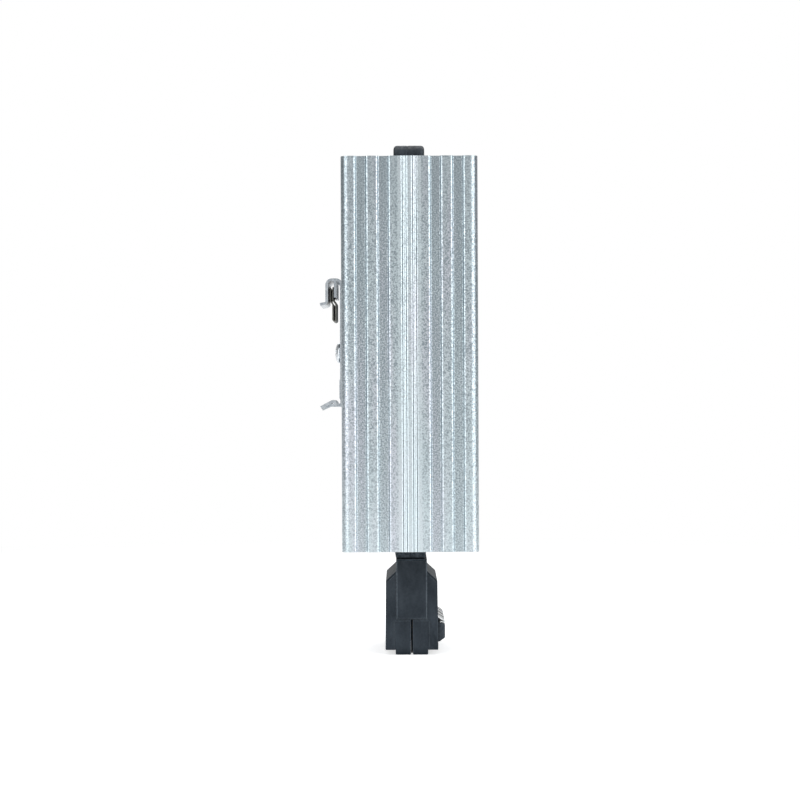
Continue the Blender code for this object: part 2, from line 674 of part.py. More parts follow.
def make_front_shell():
    shell = draw("front_shell", [shell_outline(-1)], SHELL_WIDTH, SEEN_FROM_SIDE, (0.0, 0.0, 0.0))
    face = SHELL_BASE_DEPTH / 2
    front = face + NOSE_REACH
    nose_top = BLOCK_BASE - NOSE_TOP
    nose_low = nose_top - NOSE_FACE
    root = face - SHELL_WALL / 2
    nose = [
        (-root, nose_top, 0.0),
        (-front, nose_top, SHELL_CORNER),
        (-front, nose_low, SHELL_CORNER),
        (NOSE_CHAMFER - front, nose_low - NOSE_CHAMFER, SHELL_CORNER),
        (-root, nose_low - NOSE_CHAMFER, 0.0),
    ]
    floor = SHELL_BASE + SHELL_FLOOR
    hollow_front = front - NOSE_WALL
    inner_wall = SHOULDER_DEPTH / 2 - SHELL_WALL
    ledge = BLOCK_DEPTH / 2 + GAP
    window_top = BLOCK_BASE + WINDOW_RISE
    chamber = [
        (CUT_PAST, floor),
        (-inner_wall, floor),
        (-hollow_front, nose_low),
        (-hollow_front, nose_top),
        (-front - CUT_PAST, nose_top),
        (-front - CUT_PAST, window_top),
        (CUT_PAST - ledge, window_top),
        (CUT_PAST - ledge, BLOCK_BASE + CUT_PAST),
        (CUT_PAST, BLOCK_BASE + CUT_PAST),
    ]
    entry_y = -(SHELL_GAP + LEG_DEPTH) / 4
    funnel = [
        (0.0, floor + CUT_PAST),
        (ENTRY_BORE / 2, floor + CUT_PAST),
        (ENTRY_BORE / 2, ENTRY_FUNNEL),
        (ENTRY_MOUTH / 2, 0.0),
        (ENTRY_MOUTH / 2, -CUT_PAST),
        (0.0, -CUT_PAST),
    ]
    for number, x in enumerate(clamp_places(), start=1):
        added = draw(f"clamp_nose_{number}", [rounded(nose)], NOSE_WIDTH, SEEN_FROM_SIDE, (x, 0.0, 0.0))
        combine(shell, added, "UNION")
    for number, x in enumerate(clamp_places(), start=1):
        room = draw(f"clamp_chamber_{number}", [chamber], CHAMBER_WIDTH, SEEN_FROM_SIDE, (x, 0.0, 0.0))
        combine(shell, room, "DIFFERENCE")
        mouth = turned(f"wire_entry_{number}", funnel, SEEN_FROM_ABOVE, (x, entry_y, 0.0))
        combine(shell, mouth, "DIFFERENCE")
    keep(shell, BLACK_NYLON)


def make_back_shell():
    shell = draw("back_shell", [shell_outline(1)], SHELL_WIDTH, SEEN_FROM_SIDE, (0.0, 0.0, 0.0))
    outer_wall = SHOULDER_DEPTH / 2 - SHELL_WALL
    shoulder = BLOCK_TOP - SHOULDER_START - SHOULDER_HEIGHT
    ledge = BLOCK_DEPTH / 2 + GAP
    pocket = [
        (SHELL_GAP / 2 + SHELL_WALL, SHELL_BASE + SHELL_FLOOR),
        (outer_wall, SHELL_BASE + SHELL_FLOOR),
        (outer_wall, shoulder),
        (ledge - CUT_PAST, shoulder),
        (ledge - CUT_PAST, BLOCK_BASE + CUT_PAST),
        (SHELL_GAP / 2 + SHELL_WALL, BLOCK_BASE + CUT_PAST),
    ]
    room = draw(
        "back_shell_pocket", [pocket], SHELL_WIDTH - 2 * SHELL_WALL, SEEN_FROM_SIDE, (0.0, 0.0, 0.0)
    )
    combine(shell, room, "DIFFERENCE")
    keep(shell, BLACK_NYLON)


# Spring clamps


def make_clamp_springs():
    contact_face = -CONTACT_THICKNESS - GAP
    front = SHELL_BASE_DEPTH / 2 + NOSE_REACH
    half = SPRING_THICKNESS / 2
    above_nose = BLOCK_BASE - NOSE_TOP + GAP + half
    under_block = BLOCK_BASE - 2 * GAP - half
    nose_inside = front - NOSE_WALL - GAP - half
    window_top = BLOCK_BASE + WINDOW_RISE - GAP - half
    ledge = BLOCK_DEPTH / 2 + GAP
    shell_face = SHOULDER_DEPTH / 2
    nose_low = BLOCK_BASE - NOSE_TOP - NOSE_FACE
    path = [
        (contact_face, under_block, 0.0),
        (-ledge - GAP, under_block, SPRING_BEND),
        (-shell_face, window_top, SPRING_BEND * 2),
        (half - front, above_nose + SPRING_BEND * 3, SPRING_BEND * 2),
        (half - front, above_nose, SPRING_BEND),
        (-nose_inside, above_nose + SPRING_BEND, SPRING_BEND),
        (-nose_inside, nose_low + SPRING_BEND, SPRING_BEND),
        (contact_face - SPRING_THICKNESS, nose_low + SPRING_BEND * 5, 0.0),
    ]
    for number, x in enumerate(clamp_places(), start=1):
        spring = bent_strip(f"clamp_spring_{number}", path, SPRING_THICKNESS, SPRING_WIDTH, (x, 0.0, 0.0))
        keep(spring, NICKEL)


def make_contacts():
    places = clamp_places()
    low = SHELL_BASE + SHELL_FLOOR + GAP
    high = BLOCK_BASE + CONTACT_RISE
    half = CONTACT_WIDTH / 2
    middle = (0.0, -CONTACT_THICKNESS / 2, 0.0)
    for name, x in (("live_contact", places[0]), ("neutral_contact", places[1])):
        bar = [(x - half, low), (x + half, low), (x + half, high), (x - half, high)]
        keep(draw(name, [bar], CONTACT_THICKNESS, SEEN_FROM_FRONT, middle), BRASS)
    left, right = places[-2], places[-1]
    strap = BLOCK_BASE + CONTACT_LINK
    legs = [
        (left - half, low),
        (left + half, low),
        (left + half, strap),
        (right - half, strap),
        (right - half, low),
        (right + half, low),
        (right + half, high),
        (left - half, high),
    ]
    keep(draw("earth_contact", [legs], CONTACT_THICKNESS, SEEN_FROM_FRONT, middle), BRASS)


# Leads and earth strip


def make_lead(name, start, end, bend_height, finish):
    """An insulated lead that first moves across, then turns to its electrode above bend_height."""
    points = []
    knee = Vector((end.x, start.y, bend_height))
    for low, high in ((start, knee), (knee, end)):
        for step in range(LEAD_BEND_POINTS):
            share = step / LEAD_BEND_POINTS
            ease = share * share * (3 - 2 * share)
            point = low.lerp(high, ease)
            point.z = low.z + (high.z - low.z) * share
            points.append(point)
    points.append(end)
    curve = bpy.data.curves.new(name, "CURVE")
    curve.dimensions = "3D"
    curve.bevel_depth = LEAD_DIAMETER / 2
    curve.bevel_resolution = 2
    curve.use_fill_caps = True
    spline = curve.splines.new("POLY")
    spline.points.add(len(points) - 1)
    for knot, point in zip(spline.points, points):
        knot.co = (*point, 1.0)
    keep(bpy.data.objects.new(name, curve), finish)


def make_leads():
    places = clamp_places()
    contact_middle = -CONTACT_THICKNESS / 2
    low = BLOCK_BASE + CONTACT_RISE + GAP
    plug_top = BODY_BASE + CARRIER_PLUG_HEIGHT
    tab_base = BODY_BASE + PACK_ABOVE_BASE + ELECTRODE_MARGIN - TAB_DROP
    electrode = STONE_THICKNESS / 2 + GAP + ELECTRODE_THICKNESS / 2
    for name, x, side, finish in (
        ("live_lead", places[0], -1, BROWN_LEAD),
        ("neutral_lead", places[1], 1, BLUE_LEAD),
    ):
        start = Vector((x, contact_middle, low))
        end = Vector((side * TAB_FROM_MIDDLE, side * electrode, tab_base - GAP))
        make_lead(name, start, end, plug_top, finish)
    wall = -BORE_DEPTH / 2 + GAP + EARTH_STRIP_THICKNESS / 2
    path = [
        (contact_middle, low, 0.0),
        (contact_middle, plug_top, EARTH_STRIP_BEND),
        (wall, plug_top + EARTH_STRIP_SLOPE, EARTH_STRIP_BEND),
        (wall, plug_top + EARTH_STRIP_SLOPE + EARTH_STRIP_FOOT, 0.0),
    ]
    across = (PASSAGE_WIDTH - EARTH_STRIP_WIDTH) / 2 - EARTH_STRIP_PLAY
    strip = bent_strip("earth_strip", path, EARTH_STRIP_THICKNESS, EARTH_STRIP_WIDTH, (across, 0.0, 0.0))
    keep(strip, BRASS)


# Rail clip


def make_clip():
    half = CLIP_SHEET / 2
    base = BACK + GAP + half
    fold_top = RAIL_UPPER_EDGE + FOLD_RISE - half
    foot = RAIL_UPPER_EDGE + FOOT_HEIGHT
    seat = RAIL_LOWER_EDGE + SEAT_START
    path = [
        (BACK + TIP_REACH, RAIL_LOWER_EDGE - TIP_DROP, 0.0),
        (BACK + BUMP_REACH, RAIL_LOWER_EDGE + BUMP_RISE - half, CLIP_BEND),
        (BACK + NOTCH_REACH, RAIL_LOWER_EDGE - half, CLIP_BEND),
        (base, RAIL_LOWER_EDGE - half, CLIP_BEND),
        (base, seat - SEAT_SLOPE, 0.0),
        (base + SEAT_STEP, seat, 0.0),
        (base + SEAT_STEP, seat + SEAT_HEIGHT, 0.0),
        (base, seat + SEAT_HEIGHT + SEAT_SLOPE, 0.0),
        (base, fold_top, FOLD_BEND),
        (BACK + FOLD_REACH, fold_top, FOLD_BEND),
        (BACK + FOLD_REACH, foot, FOOT_BEND),
        (BACK + FOOT_REACH, foot, 0.0),
    ]
    clip = bent_strip("rail_clip", path, CLIP_SHEET, CLIP_WIDTH)
    radius = SCREW_SHANK / 2 + GAP
    hole = [(0.0, CUT_PAST), (radius, CUT_PAST), (radius, -CUT_PAST), (0.0, -CUT_PAST)]
    punch = turned("rail_clip_hole", hole, (-math.pi / 2, 0.0, 0.0), (0.0, base, RAIL_MIDDLE))
    combine(clip, punch, "DIFFERENCE")
    keep(clip, PLATED_STEEL)


def make_leaf_spring():
    half = LEAF_THICKNESS / 2
    turn_top = RAIL_UPPER_EDGE + FOLD_RISE - CLIP_SHEET - 2 * GAP - half
    run_end = RAIL_UPPER_EDGE + LEAF_END_RISE
    jog = RAIL_UPPER_EDGE + JOG_RISE
    tongue_end = RAIL_UPPER_EDGE - TONGUE_DROP + half
    first = BACK + 2 * GAP + CLIP_SHEET + half
    second = first + LEAF_TURN
    third = BACK + FOLD_REACH - CLIP_SHEET / 2 - GAP - half
    path = [
        (first, run_end, 0.0),
        (first, turn_top, LEAF_TURN / 2),
        (second, turn_top, LEAF_TURN / 2),
        (second, jog + JOG_HEIGHT, LEAF_BEND),
        (BACK + TONGUE_REACH, jog, LEAF_BEND),
        (BACK + TONGUE_REACH, tongue_end, TONGUE_WIDTH / 2),
        (BACK + TONGUE_REACH + TONGUE_WIDTH, tongue_end, TONGUE_WIDTH / 2),
        (BACK + TONGUE_REACH + TONGUE_WIDTH, jog, LEAF_BEND),
        (third, jog + JOG_HEIGHT, LEAF_BEND),
        (third, turn_top - LEAF_TURN, 0.0),
    ]
    keep(bent_strip("rail_clip_spring", path, LEAF_THICKNESS, LEAF_WIDTH), SPRING_STEEL)


def make_clip_screw():
    seat = BACK + CLIP_SHEET + 2 * GAP
    radius = SCREW_HEAD / 2
    shank = SCREW_SHANK / 2
    head_dome = SCREW_HEAD_HEIGHT - SCREW_HEAD_RIM
    dome = [
        (radius * math.sin(turn), SCREW_HEAD_RIM + head_dome * math.cos(turn))
        for turn in (math.pi / 2 * step / HEAD_ARC_STEPS for step in range(HEAD_ARC_STEPS + 1))
    ]
    profile = [*dome, (radius, 0.0), (shank, 0.0), (shank, -SCREW_LENGTH)]
    profile += [(shank - SCREW_TIP / 2, -SCREW_LENGTH - SCREW_TIP), (0.0, -SCREW_LENGTH - SCREW_TIP)]
    screw = turned("rail_clip_screw", profile, (-math.pi / 2, 0.0, 0.0), (0.0, seat, RAIL_MIDDLE))
    low = seat + SCREW_HEAD_HEIGHT - RECESS_DEPTH
    high = seat + SCREW_HEAD_HEIGHT + CUT_PAST
    for name, wide, tall in (
        ("screw_recess_across", RECESS_LENGTH / 2, RECESS_WIDTH / 2),
        ("screw_recess_upright", RECESS_WIDTH / 2, RECESS_LENGTH / 2),
    ):
        slot = block(name, (-wide, low, RAIL_MIDDLE - tall), (wide, high, RAIL_MIDDLE + tall))
        combine(screw, slot, "DIFFERENCE")
    keep(screw, PLATED_STEEL)


make_profile()
make_pack()
make_cap()
make_carrier()
make_front_shell()
make_back_shell()
make_clamp_springs()
make_contacts()
make_leads()
make_clip()
make_leaf_spring()
make_clip_screw()
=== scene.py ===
"""A rail-mounted enclosure heater for a switch cabinet, with its finishes.

The heater stands on its terminal housing on a pale floor. All sizes are in metres: X runs across
the width of the heater, +Y points to the rail behind it and Z is up.
"""

import math

import bmesh
import bpy
from mathutils import Euler, Matrix, Vector


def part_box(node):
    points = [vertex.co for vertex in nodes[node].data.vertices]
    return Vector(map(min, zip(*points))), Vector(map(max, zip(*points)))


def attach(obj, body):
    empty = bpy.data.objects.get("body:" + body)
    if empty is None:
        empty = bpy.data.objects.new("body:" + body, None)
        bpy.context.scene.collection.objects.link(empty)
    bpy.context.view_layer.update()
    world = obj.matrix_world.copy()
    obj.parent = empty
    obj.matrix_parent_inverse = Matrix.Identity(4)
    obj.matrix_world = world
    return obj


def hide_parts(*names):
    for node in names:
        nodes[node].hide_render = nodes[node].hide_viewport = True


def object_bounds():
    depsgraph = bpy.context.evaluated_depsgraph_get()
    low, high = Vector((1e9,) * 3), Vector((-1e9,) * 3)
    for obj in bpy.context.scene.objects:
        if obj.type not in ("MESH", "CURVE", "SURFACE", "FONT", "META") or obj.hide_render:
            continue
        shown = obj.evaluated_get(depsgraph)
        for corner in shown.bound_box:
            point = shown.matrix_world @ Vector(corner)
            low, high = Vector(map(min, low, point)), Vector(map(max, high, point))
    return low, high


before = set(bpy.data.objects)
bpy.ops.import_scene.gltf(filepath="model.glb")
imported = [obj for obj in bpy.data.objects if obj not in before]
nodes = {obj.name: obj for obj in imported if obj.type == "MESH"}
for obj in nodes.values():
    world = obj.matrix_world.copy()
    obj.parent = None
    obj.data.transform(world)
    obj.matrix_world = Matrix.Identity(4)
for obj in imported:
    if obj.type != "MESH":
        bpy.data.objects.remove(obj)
cad_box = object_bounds()
scene = bpy.context.scene
scene.view_settings.view_transform = "Standard"


# Camera
# The photograph looks straight at the left side of the heater, from about three quarters of a
# metre and half way up, and the heater leans a quarter of a degree in it.

CAMERA_PLACE = (-0.735, -0.0008, 0.0913)
CAMERA_FACING = (math.radians(90), 0.0, math.radians(-90))
CAMERA_LEAN = math.radians(-0.25)
CAMERA_LENS = 89.45
CAMERA_SENSOR = 36.0
CAMERA_NEAR = 0.01

camera_data = bpy.data.cameras.new("camera")
camera_data.lens = CAMERA_LENS
camera_data.sensor_width = CAMERA_SENSOR
camera_data.clip_start = CAMERA_NEAR
camera = bpy.data.objects.new("camera", camera_data)
scene.collection.objects.link(camera)
camera.matrix_world = (
    Matrix.Translation(CAMERA_PLACE)
    @ Euler(CAMERA_FACING).to_matrix().to_4x4()
    @ Matrix.Rotation(CAMERA_LEAN, 4, "Z")
)
scene.camera = camera


# Studio light
# Two large soft boxes stand left and right of the camera, the right one stronger. One hangs
# above the heater and one high behind it. The room round them is white to the camera, and in
# the metal its end walls show brighter than its side walls.

SOFT_BOXES = (  # name, place, width and power
    ("key_right", (-0.74, -0.92, 0.22), 0.90, 8.6),
    ("fill_left", (-0.86, 0.80, 0.22), 0.80, 5.2),
    ("back_high", (0.80, 0.0, 1.00), 0.80, 6.0),
    ("overhead", (-0.35, 0.0, 1.15), 0.80, 3.0),
)
SOFT_BOX_TALL = 1.5  # how many times as tall as wide
AIMED_AT = Vector((0.0, 0.0, 0.09))
AMBIENT = 0.42
ROOM_WALLS = (0.32, 0.62)  # how bright the side walls and the end walls show in metal
ROOM_CORNER = (0.35, 0.85)  # over this part of the way to an end wall one becomes the other
WHITE = (1.0, 1.0, 1.0, 1.0)


def wire(tree, kind, inputs=(), **settings):
    """Adds a shader node, and links or sets its inputs."""
    made = tree.nodes.new(kind)
    for key, value in settings.items():
        setattr(made, key, value)
    for key, value in dict(inputs).items():
        if isinstance(value, bpy.types.NodeSocket):
            tree.links.new(value, made.inputs[key])
        else:
            made.inputs[key].default_value = value
    return made


def maths(tree, operation, value, *others):
    """A math node on one number or socket, or a chain of them with one for each further term."""
    if not others:
        return wire(tree, "ShaderNodeMath", {0: value}, operation=operation).outputs[0]
    for other in others:
        value = wire(tree, "ShaderNodeMath", {0: value, 1: other}, operation=operation).outputs[0]
    return value


def spread(tree, value, low, high, to_low=0.0, to_high=1.0, ends="LINEAR"):
    """Stretches a number from one range to another, held at its ends."""
    limits = {"Value": value, "From Min": low, "From Max": high}
    limits.update({"To Min": to_low, "To Max": to_high})
    return wire(tree, "ShaderNodeMapRange", limits, interpolation_type=ends).outputs["Result"]


def parts_of(tree, vector):
    """The X, Y and Z of a vector."""
    return wire(tree, "ShaderNodeSeparateXYZ", {"Vector": vector}).outputs


for name, stand, width, power in SOFT_BOXES:
    lamp = bpy.data.lights.new(name, "AREA")
    lamp.shape = "RECTANGLE"
    lamp.size = width
    lamp.size_y = width * SOFT_BOX_TALL
    lamp.energy = power
    soft_box = bpy.data.objects.new(name, lamp)
    soft_box.location = stand
    soft_box.rotation_euler = (AIMED_AT - Vector(stand)).to_track_quat("-Z", "Y").to_euler()
    scene.collection.objects.link(soft_box)

white_room = bpy.data.worlds.new("white_room")
white_room.use_nodes = True
scene.world = white_room
tree = white_room.node_tree
tree.nodes.clear()
ray = wire(tree, "ShaderNodeLightPath").outputs
direction = wire(tree, "ShaderNodeTexCoord").outputs["Generated"]
along = maths(tree, "ABSOLUTE", parts_of(tree, direction)["X"])
walls = spread(tree, along, *ROOM_CORNER, *ROOM_WALLS, ends="SMOOTHSTEP")
in_metal = maths(tree, "MULTIPLY", maths(tree, "SUBTRACT", walls, AMBIENT), ray["Is Glossy Ray"])
lit = maths(tree, "ADD", in_metal, AMBIENT)
strength = maths(tree, "MAXIMUM", lit, ray["Is Camera Ray"], ray["Is Transmission Ray"])
background = wire(tree, "ShaderNodeBackground", {"Color": WHITE, "Strength": strength})
wire(tree, "ShaderNodeOutputWorld", {"Surface": background.outputs[0]})


# Floor
# A wide pale floor, which turns into the white of the room away from the heater and keeps the
# heater's soft shadow close to it. It is matt, with a glow that only the camera and metal see.

FLOOR_HALF = 6.0
FLOOR_DROP = 0.0001
FLOOR_COLOUR = (0.86, 0.87, 0.88, 1.0)
FLOOR_GLOW = 0.62
FLOOR_IN_METAL = 0.95  # how much of the glow shows in metal
FLOOR_TURNS = (0.12, 0.55)  # between these distances from the heater it turns white


def finish_of(name):
    """A new material, its empty node tree and the place of each point on the surface."""
    material = bpy.data.materials.new(name)
    material.use_nodes = True
    tree = material.node_tree
    tree.nodes.clear()
    return material, tree, wire(tree, "ShaderNodeTexCoord").outputs["Object"]


mesh = bpy.data.meshes.new("floor")
corners = [(x * FLOOR_HALF, y * FLOOR_HALF, 0) for x, y in ((-1, -1), (1, -1), (1, 1), (-1, 1))]
mesh.from_pydata(corners, [], [(0, 1, 2, 3)])
floor = bpy.data.objects.new("floor", mesh)
floor.location.z = cad_box[0].z - FLOOR_DROP
scene.collection.objects.link(floor)
pale, tree, where = finish_of("pale_floor")
ray = wire(tree, "ShaderNodeLightPath").outputs
away = wire(tree, "ShaderNodeVectorMath", {0: where}, operation="LENGTH").outputs["Value"]
far = spread(tree, away, *FLOOR_TURNS, ends="SMOOTHSTEP")
in_metal = maths(tree, "MULTIPLY", ray["Is Glossy Ray"], FLOOR_IN_METAL)
seen = maths(tree, "MAXIMUM", ray["Is Camera Ray"], ray["Is Transmission Ray"], in_metal)
paint = wire(tree, "ShaderNodeBsdfDiffuse", {"Color": FLOOR_COLOUR}).outputs[0]
glow = maths(tree, "MULTIPLY", seen, FLOOR_GLOW)
glow = wire(tree, "ShaderNodeEmission", {"Strength": glow}).outputs[0]
near_floor = wire(tree, "ShaderNodeAddShader", {0: paint, 1: glow}).outputs[0]
far_floor = wire(tree, "ShaderNodeEmission", {"Strength": 1.0}).outputs[0]
share = maths(tree, "MULTIPLY", far, seen)
whole = wire(tree, "ShaderNodeMixShader", {0: share, 1: near_floor, 2: far_floor})
wire(tree, "ShaderNodeOutputMaterial", {"Surface": whole.outputs[0]})
mesh.materials.append(pale)


# Extruded profile
# The body is one aluminium extrusion: a flat tube for the heating pack, webs out to two grooved
# side walls, and cooling fins to the front and back. It is sawn to length, blasted and anodised.

PROFILE_WIDTH = 0.0700
PROFILE_DEPTH = 0.0484
BORE = (0.0400, 0.0072, 0.0010)  # width, depth and corner of the room for the heating pack
TUBE = (0.0464, 0.0116)
WEB_THICKNESS = 0.0036
AIR_GAPS = 2  # from the pad to the end of the tube, and from there to the side wall
FIN_ROOT = 0.0016
FIN_TIP = 0.0012
FIN_TIP_CORNER = 0.0005
ROOT_FILLET = 0.0006
PAD_WIDTH = 0.0240
PAD_THICKNESS = 0.0024
PAD_CORNER = 0.0006
SPINE_THICKNESS = 0.0070
DUCT_CORNER = 0.0010
WALL_THICKNESS = 0.0022
LIP_THICKNESS = 0.0036
LIP_DEPTH = 0.0036
LIP_SLOPE = 0.0012
EDGE_RADIUS = 0.0028
GROOVE_DEPTH = 0.0009
GROOVE_CORNER = 0.00015
GROOVE_BEVEL = (0.00045, 0.00018)  # width and drop of the sloping edge along each side of a groove
GROOVE_SIDE = 0.00030  # how far each side of a groove leans in
GROOVE_FOOT = (0.00025, 0.00016)  # width and rise of the slope along each side of its floor
GROOVES = ((0.01515, 0.01915), (0.00725, 0.01125))  # start and end, from the middle of the side
BEAD_LINES = (0.00245, 0.00116)  # the fine grooves along the middle of the side
BEAD_SLOPE = (0.00112, 0.00011)  # width and depth of each one's sloping sides
BEAD_SLIT = (0.00026, 0.00055)  # and of the slit at its bottom
BEAD_CORNER = 0.00004
SAWN_EDGE = 0.00020
SAWN_ANGLE = 75  # edges that turn by more degrees than this are the sawn ones
CAP_OVERLAP = 0.0003  # how far the cap's rim comes down over the sawn end

ARC_STEP = math.radians(9)  # rounded corners are drawn in steps of about this
ARC_SHARE = 0.98  # how much of the side between them two rounded corners may use
STRAIGHT = 0.01  # corners that turn by less than twice this angle stay sharp
WELD = 0.000002  # points that are nearer than this become one
FLAT = math.radians(0.5)  # faces that turn by less than this become one

SEEN_FROM_ABOVE = (0.0, 0.0, 0.0)  # across is X, up is Y, drawn out along Z
SEEN_FROM_SIDE = (math.pi / 2, 0.0, math.pi / 2)  # across is Y, up is Z, drawn out along X
SEEN_FROM_FRONT = (math.pi / 2, 0.0, 0.0)  # across is X, up is Z, drawn out along Y

low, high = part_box("heatsink_profile")
MIDDLE_Y = (low.y + high.y) / 2
BODY_BASE, BODY_TOP = low.z, high.z - CAP_OVERLAP
BACK = PROFILE_DEPTH / 2


def fillet(before, corner, after, radius, shares):
    """Points of the arc that rounds one corner, no longer than its shares of the two sides."""
    back, on = before - corner, after - corner
    half = back.angle(on) / 2
    if radius <= 0.0 or half > math.pi / 2 - STRAIGHT:
        return [corner]
    reach = min(radius / math.tan(half), shares[0] * back.length, shares[1] * on.length)
    radius = reach * math.tan(half)
    middle = corner + (back.normalized() + on.normalized()).normalized() * radius / math.sin(half)
    start = corner + back.normalized() * reach - middle
    sweep = math.pi - 2 * half
    if back.x * on.y - back.y * on.x > 0:
        sweep = -sweep
    steps = max(3, round(abs(sweep) / ARC_STEP))
    return [middle + Matrix.Rotation(sweep * step / steps, 2) @ start for step in range(steps + 1)]


def rounded(corners, closed=True):
    """The points of an outline given as corners (across, up, radius).

    Two corners share the side between them in step with their radii.
    """
    spots = [Vector(corner[:2]) for corner in corners]
    radii = [corner[2] for corner in corners]
    points = []
    for index, spot in enumerate(spots):
        radius = radii[index]
        after = (index + 1) % len(spots)
        if radius == 0.0 or (not closed and index in (0, len(spots) - 1)):
            points.append(spot)
            continue
        others = (radii[index - 1], radii[after])
        shares = [ARC_SHARE * radius / (radius + other) for other in others]
        points += fillet(spots[index - 1], spot, spots[after], radius, shares)
    return points


def box_outline(width, height, radius, middle=(0.0, 0.0)):
    """A rectangle with rounded corners, about its middle."""
    signs = [(-1, -1), (1, -1), (1, 1), (-1, 1)]
    across, up = middle
    return rounded([(across + x * width / 2, up + y * height / 2, radius) for x, y in signs])


def draw(name, outlines, length, turn, middle, closed=True):
    """Draws flat outlines out along their normal, by half the length to each side."""
    curve = bpy.data.curves.new(name, "CURVE")
    curve.dimensions = "2D"
    curve.fill_mode = "BOTH" if closed else "NONE"
    curve.extrude = length / 2
    for outline in outlines:
        spline = curve.splines.new("POLY")
        spline.points.add(len(outline) - 1)
        for point, spot in zip(spline.points, outline):
            point.co = (spot[0], spot[1], 0.0, 1.0)
        spline.use_cyclic_u = closed
    drawn = bpy.data.objects.new(name, curve)
    drawn.rotation_euler = turn
    drawn.location = middle
    return solid_of(drawn)


def raised(name, outlines, low, high):
    """Draws outlines that are seen from above, up from one level to another."""
    return draw(name, outlines, high - low, SEEN_FROM_ABOVE, (0.0, MIDDLE_Y, (low + high) / 2))


def solid_of(drawn):
    """Turns an object into one plain welded mesh in the heater's place, its modifiers applied."""
    scene.collection.objects.link(drawn)
    bpy.context.view_layer.update()
    shown = drawn.evaluated_get(bpy.context.evaluated_depsgraph_get())
    made = bpy.data.meshes.new_from_object(shown)
    made.transform(drawn.matrix_world)
    name = drawn.name
    bpy.data.objects.remove(drawn)
    made.name = name
    shape = bmesh.new()
    shape.from_mesh(made)
    bmesh.ops.remove_doubles(shape, verts=shape.verts, dist=WELD)
    bmesh.ops.dissolve_degenerate(shape, edges=shape.edges, dist=WELD)
    bmesh.ops.recalc_face_normals(shape, faces=shape.faces)
    shape.to_mesh(made)
    shape.free()
    return bpy.data.objects.new(name, made)


def soften(piece, edge, angle=40, segments=2):
    """Rounds the sharp edges of a piece, and shades it smooth up to them."""
    shape = bmesh.new()
    shape.from_mesh(piece.data)
    bmesh.ops.dissolve_limit(shape, angle_limit=FLAT, verts=shape.verts, edges=shape.edges)
    shape.to_mesh(piece.data)
    shape.free()
    piece.data.shade_smooth()
    if edge:
        turn = piece.modifiers.new("broken_edges", "BEVEL")
        turn.width = edge
        turn.segments = segments
        turn.limit_method = "ANGLE"
        turn.angle_limit = math.radians(angle)
        turn.use_clamp_overlap = True
        turn.harden_normals = True
    else:
        piece.data.set_sharp_from_angle(angle=math.radians(angle))


def place(piece, node, finish):
    """Puts a finished piece in the scene in the stead of its plain solid."""
    scene.collection.objects.link(piece)
    piece.data.materials.clear()
    piece.data.materials.append(finish)
    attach(piece, "root")
    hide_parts(node)


def channel_corners(left, right, floor):
    """Corners of a run of air gaps between two fins' root faces, from left to right."""
    width = (right - left - (AIR_GAPS - 1) * FIN_ROOT) / AIR_GAPS
    corners = []
    for index in range(AIR_GAPS):
        start = left + index * (width + FIN_ROOT)
        if index:
            corners.append((start - fin_taper, BACK, FIN_TIP_CORNER))
        corners += [(start, floor, ROOT_FILLET), (start + width, floor, ROOT_FILLET)]
        if index < AIR_GAPS - 1:
            corners.append((start + width + fin_taper, BACK, FIN_TIP_CORNER))
    return corners


fin_taper = (FIN_ROOT - FIN_TIP) / 2
face = PROFILE_WIDTH / 2
inside = face - WALL_THICKNESS
lip = face - LIP_THICKNESS
tube_end = TUBE[0] / 2
quarter = [(PAD_WIDTH / 2, BACK, PAD_CORNER)]
quarter += channel_corners(PAD_WIDTH / 2, tube_end - FIN_ROOT, TUBE[1] / 2)
quarter.append((tube_end - FIN_ROOT + fin_taper, BACK, FIN_TIP_CORNER))
quarter.append((tube_end - fin_taper, BACK, FIN_TIP_CORNER))
quarter += channel_corners(tube_end, inside, WEB_THICKNESS / 2)
quarter.append((inside, BACK - LIP_DEPTH - LIP_SLOPE, ROOT_FILLET))
quarter.append((lip, BACK - LIP_DEPTH, ROOT_FILLET))
quarter += [(lip, BACK, FIN_TIP_CORNER), (face, BACK, EDGE_RADIUS)]
for start, end in GROOVES:
    floor_of_groove = face - GROOVE_DEPTH
    shoulder = face - GROOVE_BEVEL[1]
    foot = floor_of_groove + GROOVE_FOOT[1]
    floor_end = end - GROOVE_SIDE - GROOVE_FOOT[0]
    floor_start = start + GROOVE_SIDE + GROOVE_FOOT[0]
    levels = [(face, end + GROOVE_BEVEL[0]), (shoulder, end), (foot, end - GROOVE_SIDE)]
    levels += [(floor_of_groove, floor_end), (floor_of_groove, floor_start)]
    levels += [(foot, start + GROOVE_SIDE), (shoulder, start), (face, start - GROOVE_BEVEL[0])]
    quarter += [(across, up, GROOVE_CORNER) for across, up in levels]
for middle in BEAD_LINES:
    quarter.append((face, middle + BEAD_SLOPE[0] / 2, BEAD_CORNER))
    quarter.append((face - BEAD_SLOPE[1], middle + BEAD_SLIT[0] / 2, BEAD_CORNER))
    quarter.append((face - BEAD_SLIT[1], middle, 0))
    quarter.append((face - BEAD_SLOPE[1], middle - BEAD_SLIT[0] / 2, BEAD_CORNER))
    quarter.append((face, middle - BEAD_SLOPE[0] / 2, BEAD_CORNER))
section = list(quarter)
section += [(x, -y, radius) for x, y, radius in reversed(quarter)]
section += [(-x, -y, radius) for x, y, radius in quarter]
section += [(-x, y, radius) for x, y, radius in reversed(quarter)]
holes = [box_outline(*BORE)]
duct_ends = (SPINE_THICKNESS / 2, PAD_WIDTH / 2 - FIN_ROOT)
duct_levels = (TUBE[1] / 2, BACK - PAD_THICKNESS)
duct_size = (duct_ends[1] - duct_ends[0], duct_levels[1] - duct_levels[0], DUCT_CORNER)
